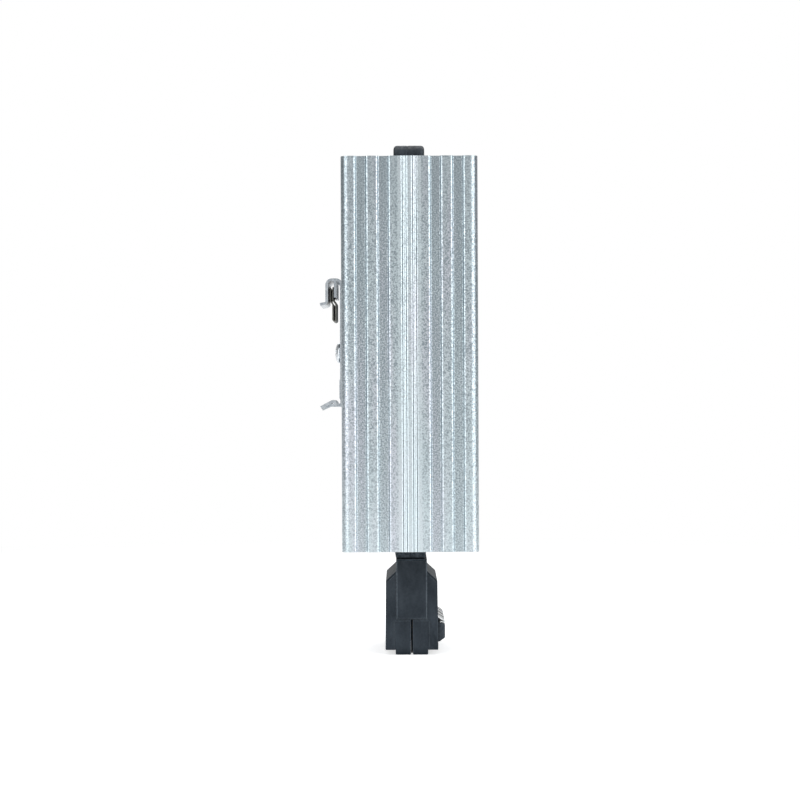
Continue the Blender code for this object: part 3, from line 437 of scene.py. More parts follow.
for x in (-sum(duct_ends) / 2, sum(duct_ends) / 2):
    for y in (-sum(duct_levels) / 2, sum(duct_levels) / 2):
        holes.append(box_outline(*duct_size, (x, y)))
profile = raised("finned_profile", [rounded(section), *holes], BODY_BASE, BODY_TOP)
soften(profile, SAWN_EDGE, angle=SAWN_ANGLE, segments=1)


def noise(tree, where, stretch, detail=2.0, roughness=0.5):
    """Soft noise whose grain has the given sizes along X, Y and Z, as a number about 0.5."""
    scale = {0: where, 1: tuple(1.0 / size for size in stretch)}
    place_in_noise = wire(tree, "ShaderNodeVectorMath", scale, operation="MULTIPLY").outputs[0]
    settings = {"Vector": place_in_noise, "Scale": 1.0, "Detail": detail, "Roughness": roughness}
    return wire(tree, "ShaderNodeTexNoise", settings).outputs["Fac"]


def off_from(tree, value, middle):
    """How far a number lies from a middle one."""
    return maths(tree, "ABSOLUTE", maths(tree, "SUBTRACT", value, middle))


def blend_colours(tree, share, first, second):
    """Mixes two colours, each a value or a socket."""
    made = wire(tree, "ShaderNodeMix", {0: share, 6: first, 7: second}, data_type="RGBA")
    return made.outputs[2]


def bumped(tree, height, distance, strength=1.0):
    """A surface normal that follows a height, where 1 is as high as the distance."""
    settings = {"Height": height, "Distance": distance, "Strength": strength}
    return wire(tree, "ShaderNodeBump", settings).outputs["Normal"]


def coat(tree, surface):
    """Ends a material in a skin with the given properties."""
    skin = wire(tree, "ShaderNodeBsdfPrincipled", surface)
    wire(tree, "ShaderNodeOutputMaterial", {"Surface": skin.outputs[0]})


ALUMINIUM_DARK = (0.265, 0.318, 0.352, 1.0)
ALUMINIUM_LIGHT = (0.67, 0.735, 0.775, 1.0)
ALUMINIUM_GREENISH = (0.645, 0.74, 0.775, 1.0)
ALUMINIUM_ROSE = (0.685, 0.72, 0.785, 1.0)
ALUMINIUM_SAWN = (0.66, 0.69, 0.71, 1.0)
BLAST_GRAIN = (0.00055,) * 3
BLAST_PIT = (0.00016,) * 3
BLAST_MIX = (0.65, 0.35)  # of grain and pits
BLAST_RELIEF = (0.00011, 0.8)  # height and strength
BLAST_GLOSS = (0.38, 0.26)
DIE_LINE = (0.0005, 0.0005, 0.060)
DIE_LINE_RELIEF = 0.4
SAW_MARK = (0.030, 0.00022, 0.030)
SAW_MARK_RELIEF = 0.5
CLOUD = (0.012, 0.012, 0.030)
HUE_STREAK = (0.0045, 0.0045, 0.055)
SWING = (0.30, 0.70)  # nearly all of a noise lies between these
GREENISH_TO_PLAIN = (0.40, 0.60)
PLAIN_TO_ROSE = (0.56, 0.70)
BLAST_FROM_SIDE = (0.0006, 0.0001)  # depths under the sides where it ends, and is still full
BLAST_FROM_PAD = (0.0003, 0.0001)  # and under the pads and the fin tips
PAD_FROM_SIDE = 0.0025  # this far in from the sides, the front and back are blasted
HIGHLIGHT_BAND = 0.0084  # the band along the middle of each side that gets a painted highlight
CALM_TOP = (0.034, 0.004, 1.0, 0.62)  # depths below the top, and the grain's strength at each
CALM_BASE = (0.060, 0.65, 1.0)  # height up from the base, and its strength at both ends
BASE_PAINTED_LIGHT = (0.085, 0.28, 0.0)  # and a height with the painted light that it adds to the tone at both ends
SPARKLE = (0.38, 0.62, -0.60, 0.60)  # part of the grain, and what it adds to the tone
LINE_TONE = (0.40, 0.56)
CLOUD_TONE = (-0.05, 0.05)
# Faces that the blast doesn't reach are darker, partly from a duller finish and partly as painted
# shade in the grooves and between the fins.
UNBLASTED_AND_SHADED_TONE = (-0.24, 0.0)
HIGHLIGHT_BAND_TONE = 0.42
END_FACES = (0.90, 0.97)  # how far up or down a sawn face looks

aluminium, tree, where = finish_of("blasted_aluminium")
to_side, to_back, upright = parts_of(tree, where)
to_side = maths(tree, "ABSOLUTE", to_side)
from_centre = off_from(tree, to_back, MIDDLE_Y)
# Faces deeper than the sides and pads, such as the groove floors and the faces between the fins,
# get the unblasted tone, which is partly painted shade.
outside = spread(tree, to_side, *(face - depth for depth in BLAST_FROM_SIDE))
on_pad = spread(tree, from_centre, *(BACK - depth for depth in BLAST_FROM_PAD))
between_sides = maths(tree, "LESS_THAN", to_side, face - PAD_FROM_SIDE)
blasted = maths(tree, "MAXIMUM", outside, maths(tree, "MULTIPLY", on_pad, between_sides))
# A painted highlight lightens the band along the middle of each side.
in_band = maths(tree, "LESS_THAN", from_centre, HIGHLIGHT_BAND / 2)
band_highlight = maths(tree, "MULTIPLY", outside, in_band, HIGHLIGHT_BAND_TONE)
coarse = maths(tree, "MULTIPLY", noise(tree, where, BLAST_GRAIN, detail=1.0), BLAST_MIX[0])
fine = maths(tree, "MULTIPLY", noise(tree, where, BLAST_PIT, detail=1.0), BLAST_MIX[1])
grain = maths(tree, "ADD", coarse, fine)
lines = noise(tree, where, DIE_LINE)
clouds = noise(tree, where, CLOUD)
top_start, top_end, *top_calm = CALM_TOP
calm = spread(tree, upright, BODY_TOP - top_start, BODY_TOP - top_end, *top_calm)
base_end, *base_calm = CALM_BASE
calm_base = spread(tree, upright, BODY_BASE, BODY_BASE + base_end, *base_calm)
calm = maths(tree, "MULTIPLY", calm, calm_base)
# Painted light lifts the tone towards the base.
light_end, *base_painted_light = BASE_PAINTED_LIGHT
tone = maths(
    tree,
    "ADD",
    maths(tree, "MULTIPLY", spread(tree, grain, *SPARKLE), calm),
    spread(tree, lines, *SWING, *LINE_TONE),
    spread(tree, clouds, *SWING, *CLOUD_TONE),
    spread(tree, blasted, 0.0, 1.0, *UNBLASTED_AND_SHADED_TONE),
    band_highlight,
    spread(tree, upright, BODY_BASE, BODY_BASE + light_end, *base_painted_light),
)
hue = noise(tree, where, HUE_STREAK, detail=1.0)
to_plain = spread(tree, hue, *GREENISH_TO_PLAIN)
light = blend_colours(tree, to_plain, ALUMINIUM_GREENISH, ALUMINIUM_LIGHT)
light = blend_colours(tree, spread(tree, hue, *PLAIN_TO_ROSE), light, ALUMINIUM_ROSE)
colour = blend_colours(tree, spread(tree, tone, 0.0, 1.0), ALUMINIUM_DARK, light)
facing = wire(tree, "ShaderNodeNewGeometry").outputs["Normal"]
facing_up = maths(tree, "ABSOLUTE", parts_of(tree, facing)["Z"])
sawn = spread(tree, facing_up, *END_FACES)
saw_marks = noise(tree, where, SAW_MARK, detail=3.0, roughness=0.7)
bright = blend_colours(tree, spread(tree, saw_marks, *SWING), ALUMINIUM_LIGHT, ALUMINIUM_SAWN)
height = maths(tree, "ADD", grain, maths(tree, "MULTIPLY", lines, DIE_LINE_RELIEF))
height = maths(tree, "MULTIPLY", height, calm)
height = maths(tree, "ADD", height, maths(tree, "MULTIPLY", saw_marks, sawn, SAW_MARK_RELIEF))
surface = {
    "Base Color": blend_colours(tree, sawn, colour, bright),
    "Metallic": 1.0,
    "Roughness": spread(tree, grain, *SWING, *BLAST_GLOSS),
    "Normal": bumped(tree, height, *BLAST_RELIEF),
}
coat(tree, surface)
place(profile, "heatsink_profile", aluminium)


# Heating pack
# Four heating stones lie in a nylon frame between two aluminium plates, wrapped in polyimide film.
# The pack is slid into the bore and can't be seen from outside, so its solids stay as they are.

STONE_DARK = (0.085, 0.080, 0.076, 1.0)
STONE_LIGHT = (0.20, 0.19, 0.175, 1.0)
STONE_GRAIN = (0.0004,) * 3
STONE_GLOSS = (0.65, 0.85)
STONE_RELIEF = 0.00004
NYLON_PALE = (0.66, 0.62, 0.52, 1.0)
NYLON_WARM = (0.56, 0.51, 0.40, 1.0)
NYLON_CLOUD = (0.004,) * 3
NYLON_GLOSS = (0.40, 0.55)
NYLON_RELIEF = 0.00002
PLATE_DARK = (0.56, 0.57, 0.58, 1.0)
PLATE_LIGHT = (0.78, 0.79, 0.80, 1.0)
PLATE_ROLLED = (0.0003, 0.0003, 0.020)
PLATE_GLOSS = (0.25, 0.40)
PLATE_RELIEF = 0.00001
FILM_DEEP = (0.42, 0.17, 0.025, 1.0)
FILM_CLEAR = (0.66, 0.34, 0.07, 1.0)
FILM_WRINKLE = (0.006, 0.006, 0.010)
FILM_GLOSS = (0.16, 0.28)
FILM_RELIEF = 0.00005
MOTTLE_TONE = (0.34, 0.66)  # this part of the noise goes from a finish's dark to its light tone


def mottled(name, tones, grain, metal, gloss, relief):
    """A finish whose tone, gloss and relief follow one noise. Metal is 1, and anything else 0."""
    finish, tree, where = finish_of(name)
    mottle = noise(tree, where, grain, detail=3.0)
    surface = {
        "Base Color": blend_colours(tree, spread(tree, mottle, *MOTTLE_TONE), *tones),
        "Metallic": metal,
        "Roughness": spread(tree, mottle, *SWING, *gloss),
        "Normal": bumped(tree, mottle, relief),
    }
    coat(tree, surface)
    return finish


def dress(finish, *names):
    """Gives plain solids of the frame a finish."""
    for name in names:
        for slot in nodes[name].material_slots:
            slot.link = "OBJECT"
            slot.material = finish


tones = (STONE_DARK, STONE_LIGHT)
ceramic = mottled("heating_ceramic", tones, STONE_GRAIN, 0.0, STONE_GLOSS, STONE_RELIEF)
tones = (NYLON_WARM, NYLON_PALE)
natural_nylon = mottled("natural_nylon", tones, NYLON_CLOUD, 0.0, NYLON_GLOSS, NYLON_RELIEF)
tones = (PLATE_DARK, PLATE_LIGHT)
rolled = mottled("rolled_aluminium", tones, PLATE_ROLLED, 1.0, PLATE_GLOSS, PLATE_RELIEF)
tones = (FILM_DEEP, FILM_CLEAR)
film = mottled("amber_film", tones, FILM_WRINKLE, 0.0, FILM_GLOSS, FILM_RELIEF)
dress(ceramic, *(f"heating_stone_{number}" for number in (1, 2, 3, 4)))
dress(natural_nylon, "stone_locating_frame")
dress(rolled, "electrode_front", "electrode_back")
dress(film, "insulating_sleeve")


# End cap
# A moulded black nylon lid closes the bore at the top. It has rounded edges, a fine mould parting
# line over its middle, and a hollow plug that holds it in the bore.

CAP_SIZE = (0.0440, 0.0111)
CAP_CORNER = 0.0016
CAP_EDGE = 0.0016
CAP_SEAT = 0.00004
CAP_PLUG_DEPTH = 0.0070
CAP_PLUG_WALL = 0.0012
CAP_PLUG_CORNER = 0.0003  # of the hollow in the plug
PARTING_LINE = (0.00024, 0.00014)  # width and depth
PARTING_AT = 0.0006
PARTING_BLANK = (0.03, 0.19)  # half width and top of the plate that the line is cut with
PARTING_CORE = 0.02  # thickness of the core taken out of that plate
SMOOTH_TURN = 35  # edges that turn by fewer degrees than this are shaded smooth
GAP = 0.0003  # between pieces that touch each other on the real heater
CUT_PAST = 0.002  # how far a cutter runs past what it cuts
JOIN_IN = 0.001  # how far a piece runs into the one that it is joined to


def combine(solid, other, operation):
    """Cuts another solid from this one, or joins it on, and removes the other."""
    scene.collection.objects.link(other)
    step = solid.modifiers.new(other.name, "BOOLEAN")
    step.operation = operation
    step.solver = "EXACT"
    step.object = other
    made = solid_of(solid)
    bpy.data.objects.remove(other)
    return made


def lid_outline(half, top):
    """The rounded top of the cap seen from a side, its ends run on below the rim."""
    under = cap_low - CUT_PAST
    corners = [(-half, under, 0), (half, under, 0), (half, top, CAP_EDGE), (-half, top, CAP_EDGE)]
    return rounded(corners)


on_centre = (0.0, MIDDLE_Y, 0.0)
cap_low = BODY_TOP + CAP_SEAT
cap_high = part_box("end_cap")[1].z
cap = raised("closing_cap", [box_outline(*CAP_SIZE, CAP_CORNER)], cap_low, cap_high)
for name, width, other, turn in (
    ("cap_long_edges", CAP_SIZE[1], CAP_SIZE[0], SEEN_FROM_SIDE),
    ("cap_short_edges", CAP_SIZE[0], CAP_SIZE[1], SEEN_FROM_FRONT),
):
    rounding = draw(name, [lid_outline(width / 2, cap_high)], other + CUT_PAST, turn, on_centre)
    cap = combine(cap, rounding, "INTERSECT")
line_width, line_depth = PARTING_LINE
blank_half, blank_top = PARTING_BLANK
blank_low = cap_low - CUT_PAST
blank = [(-blank_half, blank_low), (blank_half, blank_low)]
blank += [(blank_half, blank_top), (-blank_half, blank_top)]
seam_middle = (0.0, MIDDLE_Y + PARTING_AT, 0.0)
seam = draw("cap_parting_line", [blank], line_width, SEEN_FROM_FRONT, seam_middle)
under_seam = lid_outline(CAP_SIZE[0] / 2 - line_depth, cap_high - line_depth)
core = draw("cap_parting_core", [under_seam], PARTING_CORE, SEEN_FROM_FRONT, on_centre)
cap = combine(cap, combine(seam, core, "DIFFERENCE"), "DIFFERENCE")
plug_size = (BORE[0] - 2 * GAP, BORE[1] - 2 * GAP)
plug_hollow = (plug_size[0] - 2 * CAP_PLUG_WALL, plug_size[1] - 2 * CAP_PLUG_WALL)
outlines = [box_outline(*plug_size, BORE[2]), box_outline(*plug_hollow, CAP_PLUG_CORNER)]
plug = raised("cap_plug", outlines, BODY_TOP - CAP_PLUG_DEPTH, cap_low + JOIN_IN)
cap = combine(cap, plug, "UNION")
soften(cap, 0.0, angle=SMOOTH_TURN)

# The black nylon of the cap, the terminal carrier and the shells. It has painted shade in its
# corners and towards the top of the housing. Its edges are painted paler, partly as wear and partly
# as a painted highlight. The cap has painted light towards its top and a painted highlight on its
# top edges, the neck has painted light in patches, the noses are painted paler in patches, and the
# carrier's block has a painted highlight along its edges.

BLOCK = (0.0458, 0.0110)  # length and depth of the carrier's block
BLOCK_BASE, BLOCK_TOP = 0.0126, 0.0342
HOUSING_Y = MIDDLE_Y - 0.00035  # the block and shells sit a little forward of the profile
NYLON_DEEP = (0.0030, 0.0058, 0.0095, 1.0)
NYLON_GREY = (0.0120, 0.0190, 0.0275, 1.0)
NYLON_WORN_AND_LIT = (0.0560, 0.0685, 0.0820, 1.0)
NYLON_CAP_HIGHLIGHT = (0.170, 0.168, 0.168, 1.0)
NYLON_BLOCK_HIGHLIGHT = (0.100, 0.124, 0.146, 1.0)
NYLON_SHEEN = (0.80, 0.90, 1.0, 1.0)
MOULD_FLOW = (0.006, 0.004, 0.009)
MOULD_GRAIN = (0.00022,) * 3
MOULD_MOTTLE = (0.00080,) * 3
MOULD_RELIEF = (0.00003, 0.7)  # height and strength
SCUFF = (0.0006, 0.0006, 0.0040)
NARROW_SWING = (0.35, 0.65)  # most of a noise lies between these
FLOW_TONE = (0.0, 0.50)
GRAIN_TONE = (0.0, 0.25)
HOUSING_SHADE = (0.012, 0.034, 1.25, 0.35)  # two heights, and the tone's strength at each, falling towards the top as painted shade
# The cap's tone rises towards its top as painted light.
CAP_LIGHT_TONE = (0.0, 0.90)
CORNER_SHADE = 0.0030  # how near a wall has to be for a corner to get painted shade
CORNER_TONE = (0.45, 1.0, 0.15, 1.0)  # how open a place is, and the tone's strength there
SAMPLES = 6  # looks at the surface round each point, for its corners and edges
WORN_AND_LIT_EDGE = 0.00050
EDGE_TURN = (0.999, 0.96)  # cosines of the turn at an edge with none and with all of the wear and painted highlight
EDGE_OPEN = (0.42, 0.72)  # how open a place is with none and with all of the wear and painted highlight
EDGE_PATCHES = (0.35, 0.60, 0.45, 1.0)  # part of the mottle, and the wear and painted highlight there
NECK_LIGHT = (0.0004, 0.0010)  # heights over the block between which the painted light begins
NECK_LIGHT_END = (0.0012, 0.0006)  # depths under the profile between which it ends
NECK_LIGHT_PATCHES = (0.40, 0.64, 0.25, 1.0)
CAP_TOP_LIGHT = (0.0, 0.50)
CAP_LIGHT_PATCHES = (0.35, 0.60, 0.35, 1.0)
NOSE_START = (0.0098, 0.0104)  # in front of the profile's middle
NOSE_UNDER = (0.100, 0.120, 0.0, 0.85)  # depths below the cap, and how much paler the noses are painted at each
NOSE_PATCHES = (0.38, 0.62, 0.50, 1.0)
BLOCK_HIGHLIGHT_WIDTH = 0.00048  # how wide the painted highlight along the block's edges is
BLOCK_END = (0.00062, 0.00002)  # how far in from its ends, and how far out past its sides
BLOCK_HIGHLIGHT_PATCHES = (0.32, 0.56, 0.38, 0.80)
CAP_HIGHLIGHT_TOP = (0.0020, 0.0002, 0.0, 0.90)  # depths under the cap's top, and the painted highlight at each
CAP_HIGHLIGHT_SLOPE = (0.1, 0.6)  # slopes with none and with all of it, as the level top has none
CAP_HIGHLIGHT_PATCHES = (0.34, 0.60, 0.45, 1.0)
CAP_HIGHLIGHT_SIDE = (0.0008, 0.07)  # where it starts over the cap's rim, and how much there is
GRAIN_GLOSS = (0.42, 0.54)
SCUFF_GLOSS = (0.58, 0.72, 0.0, -0.10)
# Painted shade also lowers the sheen in corners.
CORNER_SHINE = (0.45, 1.0, 0.15, 0.47)
FLOW_SHINE = (0.32, 0.68, 0.78, 1.22)
MOTTLE_SHINE = (0.92, 1.08)

black_nylon, tree, where = finish_of("black_nylon")
to_side, to_back, upright = parts_of(tree, where)
flow = noise(tree, where, MOULD_FLOW, detail=3.0)
spark = noise(tree, where, MOULD_GRAIN)
scuffs = noise(tree, where, SCUFF, detail=3.0, roughness=0.7)
mottle = noise(tree, where, MOULD_MOTTLE)
tone = maths(
    tree,
    "ADD",
    spread(tree, flow, *SWING, *FLOW_TONE),
    spread(tree, spark, *NARROW_SWING, *GRAIN_TONE),
    spread(tree, mottle, *NARROW_SWING, *GRAIN_TONE),
)
# Painted shade darkens the housing towards its top, under the profile.
shade_on_housing = spread(tree, upright, *HOUSING_SHADE)
# Painted light lightens the cap towards its top.
light_on_cap = spread(tree, upright, cap_low, cap_high, *CAP_LIGHT_TONE)
tone = maths(tree, "MULTIPLY", tone, maths(tree, "ADD", shade_on_housing, light_on_cap))
# Painted shade: the tone drops in corners, where walls are near.
distance = {"Distance": CORNER_SHADE}
open_around = wire(tree, "ShaderNodeAmbientOcclusion", distance, samples=SAMPLES).outputs["AO"]
tone = maths(tree, "MULTIPLY", tone, spread(tree, open_around, *CORNER_TONE))

facing = wire(tree, "ShaderNodeNewGeometry").outputs["Normal"]
eased = wire(tree, "ShaderNodeBevel", {"Radius": WORN_AND_LIT_EDGE}, samples=SAMPLES).outputs["Normal"]
both = {0: facing, 1: eased}
turning = wire(tree, "ShaderNodeVectorMath", both, operation="DOT_PRODUCT").outputs["Value"]
# The edges are painted paler, partly as wear and partly as a painted highlight.
worn_and_lit_edges = maths(
    tree,
    "MULTIPLY",
    spread(tree, turning, *EDGE_TURN),
    spread(tree, open_around, *EDGE_OPEN),
    spread(tree, mottle, *EDGE_PATCHES),
)
# Painted light lifts the neck in patches.
neck_light = maths(
    tree,
    "MULTIPLY",
    spread(tree, upright, *(BLOCK_TOP + height for height in NECK_LIGHT)),
    spread(tree, upright, *(BODY_BASE - depth for depth in NECK_LIGHT_END), 1.0, 0.0),
    spread(tree, mottle, *NECK_LIGHT_PATCHES),
)
# Painted light lightens the cap towards its top, in patches.
cap_top_light = spread(tree, upright, cap_low, cap_high, *CAP_TOP_LIGHT)
cap_top_light = maths(tree, "MULTIPLY", cap_top_light, spread(tree, flow, *CAP_LIGHT_PATCHES))
# The noses are painted paler in patches.
under_start, under_end, *nose_wear = NOSE_UNDER
pale_noses = maths(
    tree,
    "MULTIPLY",
    spread(tree, to_back, *(MIDDLE_Y - reach for reach in NOSE_START)),
    spread(tree, upright, cap_low - under_start, cap_low - under_end, *nose_wear),
    spread(tree, mottle, *NOSE_PATCHES),
)
# The paler marks together: wear, painted light and painted highlights.
worn_and_lit = maths(tree, "MAXIMUM", worn_and_lit_edges, neck_light, cap_top_light, pale_noses)

# A painted highlight runs along the edges of the carrier's block.
block_side = BLOCK[1] / 2
block_rise = (BLOCK_TOP - BLOCK_BASE) / 2
off_middle = off_from(tree, to_back, HOUSING_Y)
off_level = off_from(tree, upright, BLOCK_BASE + block_rise)
at_side, at_level = (
    spread(tree, off, end - BLOCK_HIGHLIGHT_WIDTH, end - BLOCK_HIGHLIGHT_WIDTH / 2)
    for off, end in ((off_middle, block_side), (off_level, block_rise))
)
end_zone, side_slack = BLOCK_END
block_edge_highlight = maths(
    tree,
    "MULTIPLY",
    maths(tree, "MAXIMUM", at_side, at_level),
    maths(tree, "LESS_THAN", off_level, block_rise),
    maths(tree, "GREATER_THAN", maths(tree, "ABSOLUTE", to_side), BLOCK[0] / 2 - end_zone),
    maths(tree, "LESS_THAN", off_middle, block_side + side_slack),
    spread(tree, mottle, *BLOCK_HIGHLIGHT_PATCHES),
)

# A painted highlight lies on the cap's rounded top edges and faintly up its sides.
highlight_low, highlight_high, *highlight_range = CAP_HIGHLIGHT_TOP
cap_highlight = maths(
    tree,
    "MULTIPLY",
    spread(tree, upright, cap_high - highlight_low, cap_high - highlight_high, *highlight_range),
    spread(tree, maths(tree, "SUBTRACT", 1.0, parts_of(tree, facing)["Z"]), *CAP_HIGHLIGHT_SLOPE),
    spread(tree, mottle, *CAP_HIGHLIGHT_PATCHES),
)
side_start, side_highlight = CAP_HIGHLIGHT_SIDE
highlight_on_side = spread(tree, upright, cap_low + side_start, cap_high - highlight_low, 0.0, side_highlight)
cap_highlight = maths(tree, "MAXIMUM", cap_highlight, highlight_on_side)

colour = blend_colours(tree, tone, NYLON_DEEP, NYLON_GREY)
for share, shade in ((worn_and_lit, NYLON_WORN_AND_LIT), (cap_highlight, NYLON_CAP_HIGHLIGHT), (block_edge_highlight, NYLON_BLOCK_HIGHLIGHT)):
    colour = blend_colours(tree, share, colour, shade)
gloss = spread(tree, spark, *SWING, *GRAIN_GLOSS)
# Painted shade also lowers the sheen in corners.
shine = maths(
    tree,
    "MULTIPLY",
    spread(tree, open_around, *CORNER_SHINE),
    spread(tree, flow, *FLOW_SHINE),
    spread(tree, mottle, *SWING, *MOTTLE_SHINE),
)
surface = {
    "Base Color": colour,
    "Metallic": 0.0,
    "Specular IOR Level": shine,
    "Specular Tint": NYLON_SHEEN,
    "Roughness": maths(tree, "ADD", gloss, spread(tree, scuffs, *SCUFF_GLOSS)),
    "Normal": bumped(tree, spark, *MOULD_RELIEF),
}
coat(tree, surface)
place(cap, "end_cap", black_nylon)


# Terminal carrier
# The moulded block between the heater and its terminals. A hollow plug holds it in the bore, its
# neck closes the bore, and its flat ends show between the two shells that clip round it.

BLOCK_EDGE = 0.00055
BLOCK_CORNER = 0.00035
BLOCK_CORNER_RISE = 0.030  # length of the bar that rounds the block's upright corners
NECK = (0.0424, 0.0114, 0.0008)
NECK_TAPER = 0.00042  # on each side, from its top to its bottom
NECK_TAPER_LENGTH = 0.060
NECK_SEAM = (0.00030, 0.00018)  # width and depth of the mould line up its ends
NECK_LEDGE = 0.0005  # shadow groove under the neck
NECK_EDGE = 0.00020
WAIST_STEP = 0.0010  # how much smaller than the neck the waist inside it is
CARRIER_WALL = 0.0013
CARRIER_ROOF = 0.0020
CARRIER_PLUG = 0.0080
MOULDED_EDGE = 0.00012
SHELL_LENGTH = 0.0450
RIB = (0.0010, 0.00062)  # length and thickness of the ribs that close the slit between the shells
RIB_FROM_END = 0.0020
RIB_BASE = 0.0004
RIB_ROOT = (0.0003, 0.0012)  # from and to over the block's base
RIB_ROOT_THINNER = 0.00002  # on each side
RIB_HOLD = 0.0006  # how far each rib's root runs into the end wall of the block


def between(name, low, high):
    """A block between two corners."""
    made = bpy.data.meshes.new(name)
    shape = bmesh.new()
    size = [b - a for a, b in zip(low, high)]
    middle = [(a + b) / 2 for a, b in zip(low, high)]
    stretched = Matrix.Translation(middle) @ Matrix.Diagonal((*size, 1.0))
    bmesh.ops.create_cube(shape, size=1.0, matrix=stretched)
    shape.to_mesh(made)
    shape.free()
    return bpy.data.objects.new(name, made)


def end_block(name, sign, reach, depths, levels):
    """A block at one end of the housing, between two places along it, depths and levels."""
    ends = sorted(sign * along for along in reach)
    return between(name, *zip(ends, depths, levels))


seated = (0.0, HOUSING_Y, 0.0)
end = BLOCK[0] / 2
side = [(-end, BLOCK_BASE + BLOCK_EDGE), (BLOCK_EDGE - end, BLOCK_BASE)]
side += [(end - BLOCK_EDGE, BLOCK_BASE), (end, BLOCK_BASE + BLOCK_EDGE)]
side += [(end, BLOCK_TOP - BLOCK_EDGE), (end - BLOCK_EDGE, BLOCK_TOP)]
side += [(BLOCK_EDGE - end, BLOCK_TOP), (-end, BLOCK_TOP - BLOCK_EDGE)]
carrier = draw("carrier_block", [side], BLOCK[1], SEEN_FROM_FRONT, seated)
corners = [box_outline(*BLOCK, BLOCK_CORNER)]
block_middle = (0.0, HOUSING_Y, (BLOCK_BASE + BLOCK_TOP) / 2)
rounding = draw("block_corners", corners, BLOCK_CORNER_RISE, SEEN_FROM_ABOVE, block_middle)
carrier = combine(carrier, rounding, "INTERSECT")
neck_low, neck_high = BLOCK_TOP + NECK_LEDGE, BODY_BASE - CAP_SEAT
neck = raised("carrier_neck", [box_outline(*NECK)], neck_low, neck_high)
half = NECK[1] / 2
taper = [(NECK_TAPER - half, neck_low), (half - NECK_TAPER, neck_low)]
taper += [(half, neck_high), (-half, neck_high)]
tapered = draw("neck_taper", [taper], NECK_TAPER_LENGTH, SEEN_FROM_SIDE, on_centre)
neck = combine(neck, tapered, "INTERSECT")
seam_width, seam_depth = NECK_SEAM
seam_reach = (NECK[0] / 2 - seam_depth, NECK[0] / 2 + CUT_PAST)
seam_depths = (MIDDLE_Y - seam_width / 2, MIDDLE_Y + seam_width / 2)
seam_levels = (neck_low - CUT_PAST, neck_high + CUT_PAST)
for sign in (-1, 1):
    line = end_block("neck_seam", sign, seam_reach, seam_depths, seam_levels)
    neck = combine(neck, line, "DIFFERENCE")
soften(neck, NECK_EDGE)
carrier = combine(carrier, neck, "UNION")
waist = box_outline(NECK[0] - WAIST_STEP, NECK[1] - WAIST_STEP, NECK[2])
plug_end = BODY_BASE + CARRIER_PLUG
for name, outline, top in (
    ("carrier_waist", waist, BODY_BASE - JOIN_IN),
    ("carrier_plug", box_outline(*plug_size, BORE[2]), plug_end),
):
    carrier = combine(carrier, raised(name, [outline], BLOCK_TOP - JOIN_IN, top), "UNION")
hollow_x = end - CARRIER_WALL - (BLOCK[0] - SHELL_LENGTH) / 2
hollow_y = BLOCK[1] / 2 - CARRIER_WALL
passage_x = plug_size[0] / 2 - CARRIER_WALL
passage_y = plug_size[1] / 2 - CARRIER_WALL
roof = BLOCK_TOP - CARRIER_ROOF
for name, x, y, low, high in (
    ("carrier_hollow", hollow_x, hollow_y, BLOCK_BASE - CUT_PAST, roof),
    ("carrier_passage", passage_x, passage_y, roof - CUT_PAST, plug_end + CUT_PAST),
):
    hollow = between(name, (-x, MIDDLE_Y - y, low), (x, MIDDLE_Y + y, high))
    carrier = combine(carrier, hollow, "DIFFERENCE")
rib_length, rib_thickness = RIB
rib_end = SHELL_LENGTH / 2 - RIB_FROM_END
rib_depths = [HOUSING_Y + side * rib_thickness / 2 for side in (-1, 1)]
root_depths = (rib_depths[0] + RIB_ROOT_THINNER, rib_depths[1] - RIB_ROOT_THINNER)
root_levels = [BLOCK_BASE + rise for rise in RIB_ROOT]
rib_levels = (RIB_BASE, BLOCK_BASE + JOIN_IN)
for sign in (-1, 1):
    rib = end_block("closing_rib", sign, (rib_end, rib_end - rib_length), rib_depths, rib_levels)
    carrier = combine(carrier, rib, "UNION")
    root_reach = (rib_end - rib_length / 2, hollow_x + RIB_HOLD)
    root = end_block("rib_root", sign, root_reach, root_depths, root_levels)
    carrier = combine(carrier, root, "UNION")
soften(carrier, MOULDED_EDGE)
place(carrier, "terminal_carrier", black_nylon)


# Terminal shells
# Two moulded halves clip round the carrier and meet at a slit. The front one has a nose over each
# spring clamp and a funnel for each wire in its foot, the back one is a plain hollow half.

SHELL_PARTING = 0.0007
SHELL_FIT = 0.00004  # what is left between the shells and the carrier
SHELL_BASE = 0.0017
SHOULDER_START = 0.0043
SHOULDER_HEIGHT = 0.0034
SHOULDER_CUT = 0.0009  # how much lower the shoulders are at the sloping cut of their ends
SHOULDER_CUT_FACING = (0.68, 0.74)  # how far the cut faces out and up, against 1 to the end
SHOULDER_DEPTH = 0.0185
SHELL_BASE_DEPTH = 0.0190
LEG_DEPTH = 0.0117
SHELL_CORNER = 0.0004
SHELL_END_CORNER = 0.00040
CORNER_BAR = (0.0002, 0.090)  # the bar that rounds a shell: how much deeper it is, and its length
SHELL_WALL = 0.0016
SHELL_FLOOR = 0.0028
CLAMP_COUNT = 4
CLAMP_PITCH = 0.0105
CHAMBER_WIDTH = 0.0076
NOSE_WIDTH = 0.0090
NOSE_REACH = 0.00245
NOSE_TOP = 0.0011
NOSE_FACE = 0.0057
NOSE_CORNER = 2 * SHELL_CORNER  # the lower one of its face
NOSE_CHAMFER = (0.0020, 0.0014)
NOSE_TOP_SLOPE = 0.0009
NOSE_WALL = 0.00125
WINDOW_RISE = 0.0013
ENTRY_BORE = 0.0030
ENTRY_MOUTH = 0.0042
ENTRY_FUNNEL = 0.0016
END_PANEL = 0.00018  # the foot's end stands back from the outer parts by this much
END_PANEL_EDGES = (0.0004, 0.0006)  # how far past the leg and under the block it reaches
CUTTER = 0.03  # half the width of the block that slopes a shoulder
